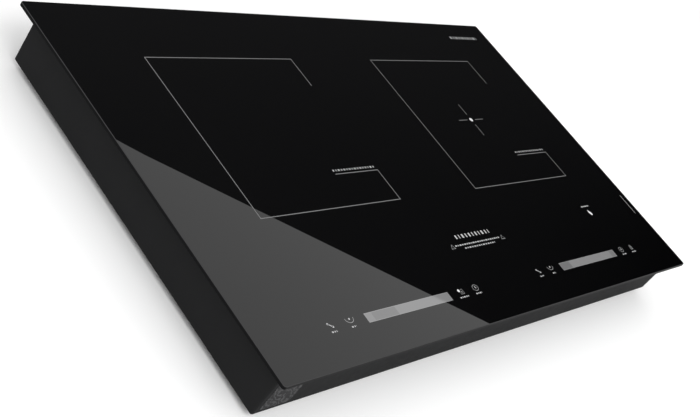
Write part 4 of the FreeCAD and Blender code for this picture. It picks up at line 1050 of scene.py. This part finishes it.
def ribbon_path(middle):
    """The ribbon's wavy course, out through its rings, each the other way round from the last."""
    path = []
    for ring in range(RIBBON_RINGS):
        radius = RIBBON_FIRST + RIBBON_PITCH * ring
        gap = RIBBON_GAP / radius
        sweep = TURN - 2.0 * gap
        waves = round(sweep * radius / RIBBON_WAVE_LENGTH)
        steps = waves * RIBBON_WAVE_STEPS
        for i in range(steps + 1):
            share = i / steps if ring % 2 else 1.0 - i / steps
            angle = -math.pi / 2.0 + gap + sweep * share
            wave = RIBBON_WAVE * math.sin(TURN * waves * i / steps)
            path.append(around(middle, radius + wave, angle))
    return path


def add_heating_ribbon():
    """The corrugated heating ribbon: one strip standing on its edge."""
    low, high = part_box("heating_ribbon")
    dish_low, dish_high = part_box("heater_dish")
    middle = (dish_low + dish_high) / 2.0
    middle.z = low.z
    path = ribbon_path(middle)
    rise = UP * (high.z - low.z)
    rings = []
    last = len(path) - 1
    for i, foot in enumerate(path):
        way = (path[min(i + 1, last)] - path[max(i - 1, 0)]).normalized()
        side = way.cross(UP) * (RIBBON_FOIL / 2.0)
        top = foot + rise
        rings.append([foot - side, foot + side, top + side, top - side])
    mesh = bmesh.new()
    loft(mesh, rings)
    strip = add_piece("ribbon_strip", mesh, HEATER_BODY, "ribbon_alloy", None, False)
    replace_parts(strip, "heating_ribbon")


# ---------------------------------------------------------------- leads and board parts
# the x beyond which a run of the mains leads counts as on the right
RIGHT_LEADS_FROM = -0.05
CAN_WIDTH_MOST = 12.0 * MM
CAPACITOR_BEVEL = 0.5 * MM
CAPACITOR_BEVEL_STEPS = 2


def add_floating_leads(node, slot):
    """Leads from the tray up to a sprung unit, copied as one piece on no body, with its place baked
    into its mesh.
    """
    thing = copy_islands(f"{node}_run", islands(node), None, node, slot, MATERIALS[slot])
    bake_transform(thing)


def add_mains_leads():
    """Brown, blue and green-and-yellow leads from the terminal block."""
    live = simple("lead_brown", (0.14, 0.05, 0.02), 0.4, 0.0, 500.0)
    neutral = simple("lead_blue", (0.01, 0.05, 0.32), 0.4, 0.0, 500.0)
    earth = striped("lead_earth", (0.03, 0.26, 0.04), (0.70, 0.58, 0.02), 160.0, "X", 0.62)
    runs = sorted(islands("mains_leads"), key=lambda run: run[1].x - run[0].x)
    long_runs = sorted(runs[1:], key=lambda run: (run[0].x > RIGHT_LEADS_FROM, run[0].y))
    groups = (
        ("lead_live", [long_runs[0], long_runs[2]], live),
        ("lead_neutral", [long_runs[1], long_runs[3]], neutral),
        ("lead_earth", runs[:1], earth),
    )
    for name, chosen, material in groups:
        copy_islands(name, chosen, BASE_BODY, "mains_leads", "lead_pvc", material)


def add_capacitors():
    """Film capacitors in yellow and blue boxes, and round cans in dark sleeves."""
    units = islands("board_capacitors")
    cans = [unit for unit in units if unit[1].x - unit[0].x < CAN_WIDTH_MOST]
    boxes = [unit for unit in units if unit not in cans]
    slot = "capacitor_case"
    blue = simple("capacitor_blue", (0.01, 0.07, 0.30), 0.35, 0.0, 600.0)
    sleeve = simple("can_sleeve", (0.012, 0.013, 0.018), 0.3, 0.0, 600.0)
    groups = (
        ("film_capacitors", [box for box in boxes if box[0].x < 0.0], MATERIALS[slot]),
        ("line_capacitors", [box for box in boxes if box[0].x > 0.0], blue),
        ("round_capacitors", cans, sleeve),
    )
    for name, chosen, material in groups:
        thing = copy_islands(name, chosen, BASE_BODY, "board_capacitors", slot, material)
        bevel = thing.modifiers.new("bevel", "BEVEL")
        bevel.width = CAPACITOR_BEVEL
        bevel.segments = CAPACITOR_BEVEL_STEPS
        bevel.limit_method = "ANGLE"


# ---------------------------------------------------------------- stage
def plane(name, corners):
    """A flat face through its corners."""
    mesh = bpy.data.meshes.new(name)
    mesh.from_pydata([tuple(c) for c in corners], [], [list(range(len(corners)))])
    thing = bpy.data.objects.new(name, mesh)
    bpy.context.scene.collection.objects.link(thing)
    return thing


def mirrored_ray(x, y):
    """Where the camera's sight of a point on the glass goes on to, as a start and a direction."""
    start = GLASS_CORNER + Vector((x, y, 0.0))
    sight = start - (GLASS_CORNER + CAMERA_FROM_CORNER)
    sight.z = -sight.z
    return start, sight.normalized()


CARD_DISTANCE = 3.0
# where the card's mirror image lies on the glass: its near edge, then its corners beyond the glass
CARD_EDGE = ((-0.02, 0.282), (0.0054, 0.2541), (0.0192, 0.240), (0.278, 0.0065), (0.31, -0.0224))
CARD_BEYOND = ((1.6, -0.3), (1.6, 1.2), (-0.6, 1.2), (-0.3, 0.5))
CARD_GLOW = 0.0735
CARD_GLOW_LEAST = 0.003
CARD_GLOW_LOST = 0.0247
CARD_GLOW_GAINED = 0.0150


def card_black():
    """Barely glowing black, falling off to the right and to the front."""
    s = Shader("card_black")
    s.set(Base_Color=(0.0, 0.0, 0.0, 1.0), Specular_IOR_Level=0.0, Roughness=1.0)
    s.set(Emission_Color=(1.0, 1.0, 1.03, 1.0))
    lost = s.calc("MULTIPLY", s.axis("X"), -CARD_GLOW_LOST)
    gained = s.calc("MULTIPLY", s.axis("Y"), CARD_GLOW_GAINED)
    glow = s.calc("ADD", s.calc("ADD", lost, gained), CARD_GLOW)
    s.join(s.calc("MAXIMUM", glow, CARD_GLOW_LEAST), "Emission Strength")
    return s.material


def add_dark_card():
    """The black card that the glass mirrors."""
    corners = []
    for x, y in CARD_EDGE + CARD_BEYOND:
        start, sight = mirrored_ray(x, y)
        corners.append(start + sight * CARD_DISTANCE)
    card = plane("dark_card", corners)
    card.data.materials.append(card_black())
    card.visible_camera = False
    card.visible_diffuse = False
    card.visible_shadow = False
    card.visible_transmission = False


FLOOR_HALF = 12.0
FLOOR_GAP = 0.2 * MM
SKY_STRENGTH = 0.95
KEY_PLACE = (-1.2, -2.2, 2.6)
KEY_SIZE = 2.0
KEY_POWER = 60.0


def add_floor():
    """A wide pale floor just under the feet."""
    half = FLOOR_HALF
    z = CAD_LOW.z - FLOOR_GAP
    floor = plane("floor", [(-half, -half, z), (half, -half, z), (half, half, z), (-half, half, z)])
    s = Shader("floor")
    s.set(Metallic=0.0, Roughness=0.9, Specular_IOR_Level=0.1)
    s.join(s.blend(s.noise(1.5, 2.0), (0.94, 0.94, 0.94), (0.96, 0.96, 0.96)), "Base Color")
    floor.data.materials.append(s.material)


def add_sky():
    """Even white light from all round."""
    world = bpy.data.worlds.new("studio")
    world.use_nodes = True
    sky = world.node_tree.nodes["Background"]
    sky.inputs["Color"].default_value = (1.0, 1.0, 1.0, 1.0)
    sky.inputs["Strength"].default_value = SKY_STRENGTH
    bpy.context.scene.world = world


def add_key_light():
    """A square soft light from the front left, aimed at the object's foot."""
    data = bpy.data.lights.new("key", "AREA")
    data.shape = "SQUARE"
    data.size = KEY_SIZE
    data.energy = KEY_POWER
    thing = bpy.data.objects.new("key", data)
    thing.location = KEY_PLACE
    thing.rotation_euler = (-Vector(KEY_PLACE)).to_track_quat("-Z", "Y").to_euler()
    bpy.context.scene.collection.objects.link(thing)


def add_stage():
    """Floor, card, sky and light, and plain colour handling."""
    add_floor()
    add_dark_card()
    add_sky()
    add_key_light()
    bpy.context.scene.view_settings.view_transform = "Standard"


add_camera()
finish_nodes()
add_printing()
add_windows()
add_springs("coil_springs", *UNIT_SPRING, "coil_float", UNIT_SPRING_KEPT)
add_springs("heater_springs", *UNIT_SPRING, "heater_float", UNIT_SPRING_KEPT)
add_springs("touch_springs", *TOUCH_SPRING)
add_induction_coil()
add_choke()
add_heating_ribbon()
add_floating_leads("coil_leads", "lead_sleeve")
add_floating_leads("heater_leads", "lead_glassfibre")
add_mains_leads()
add_capacitors()
add_stage()
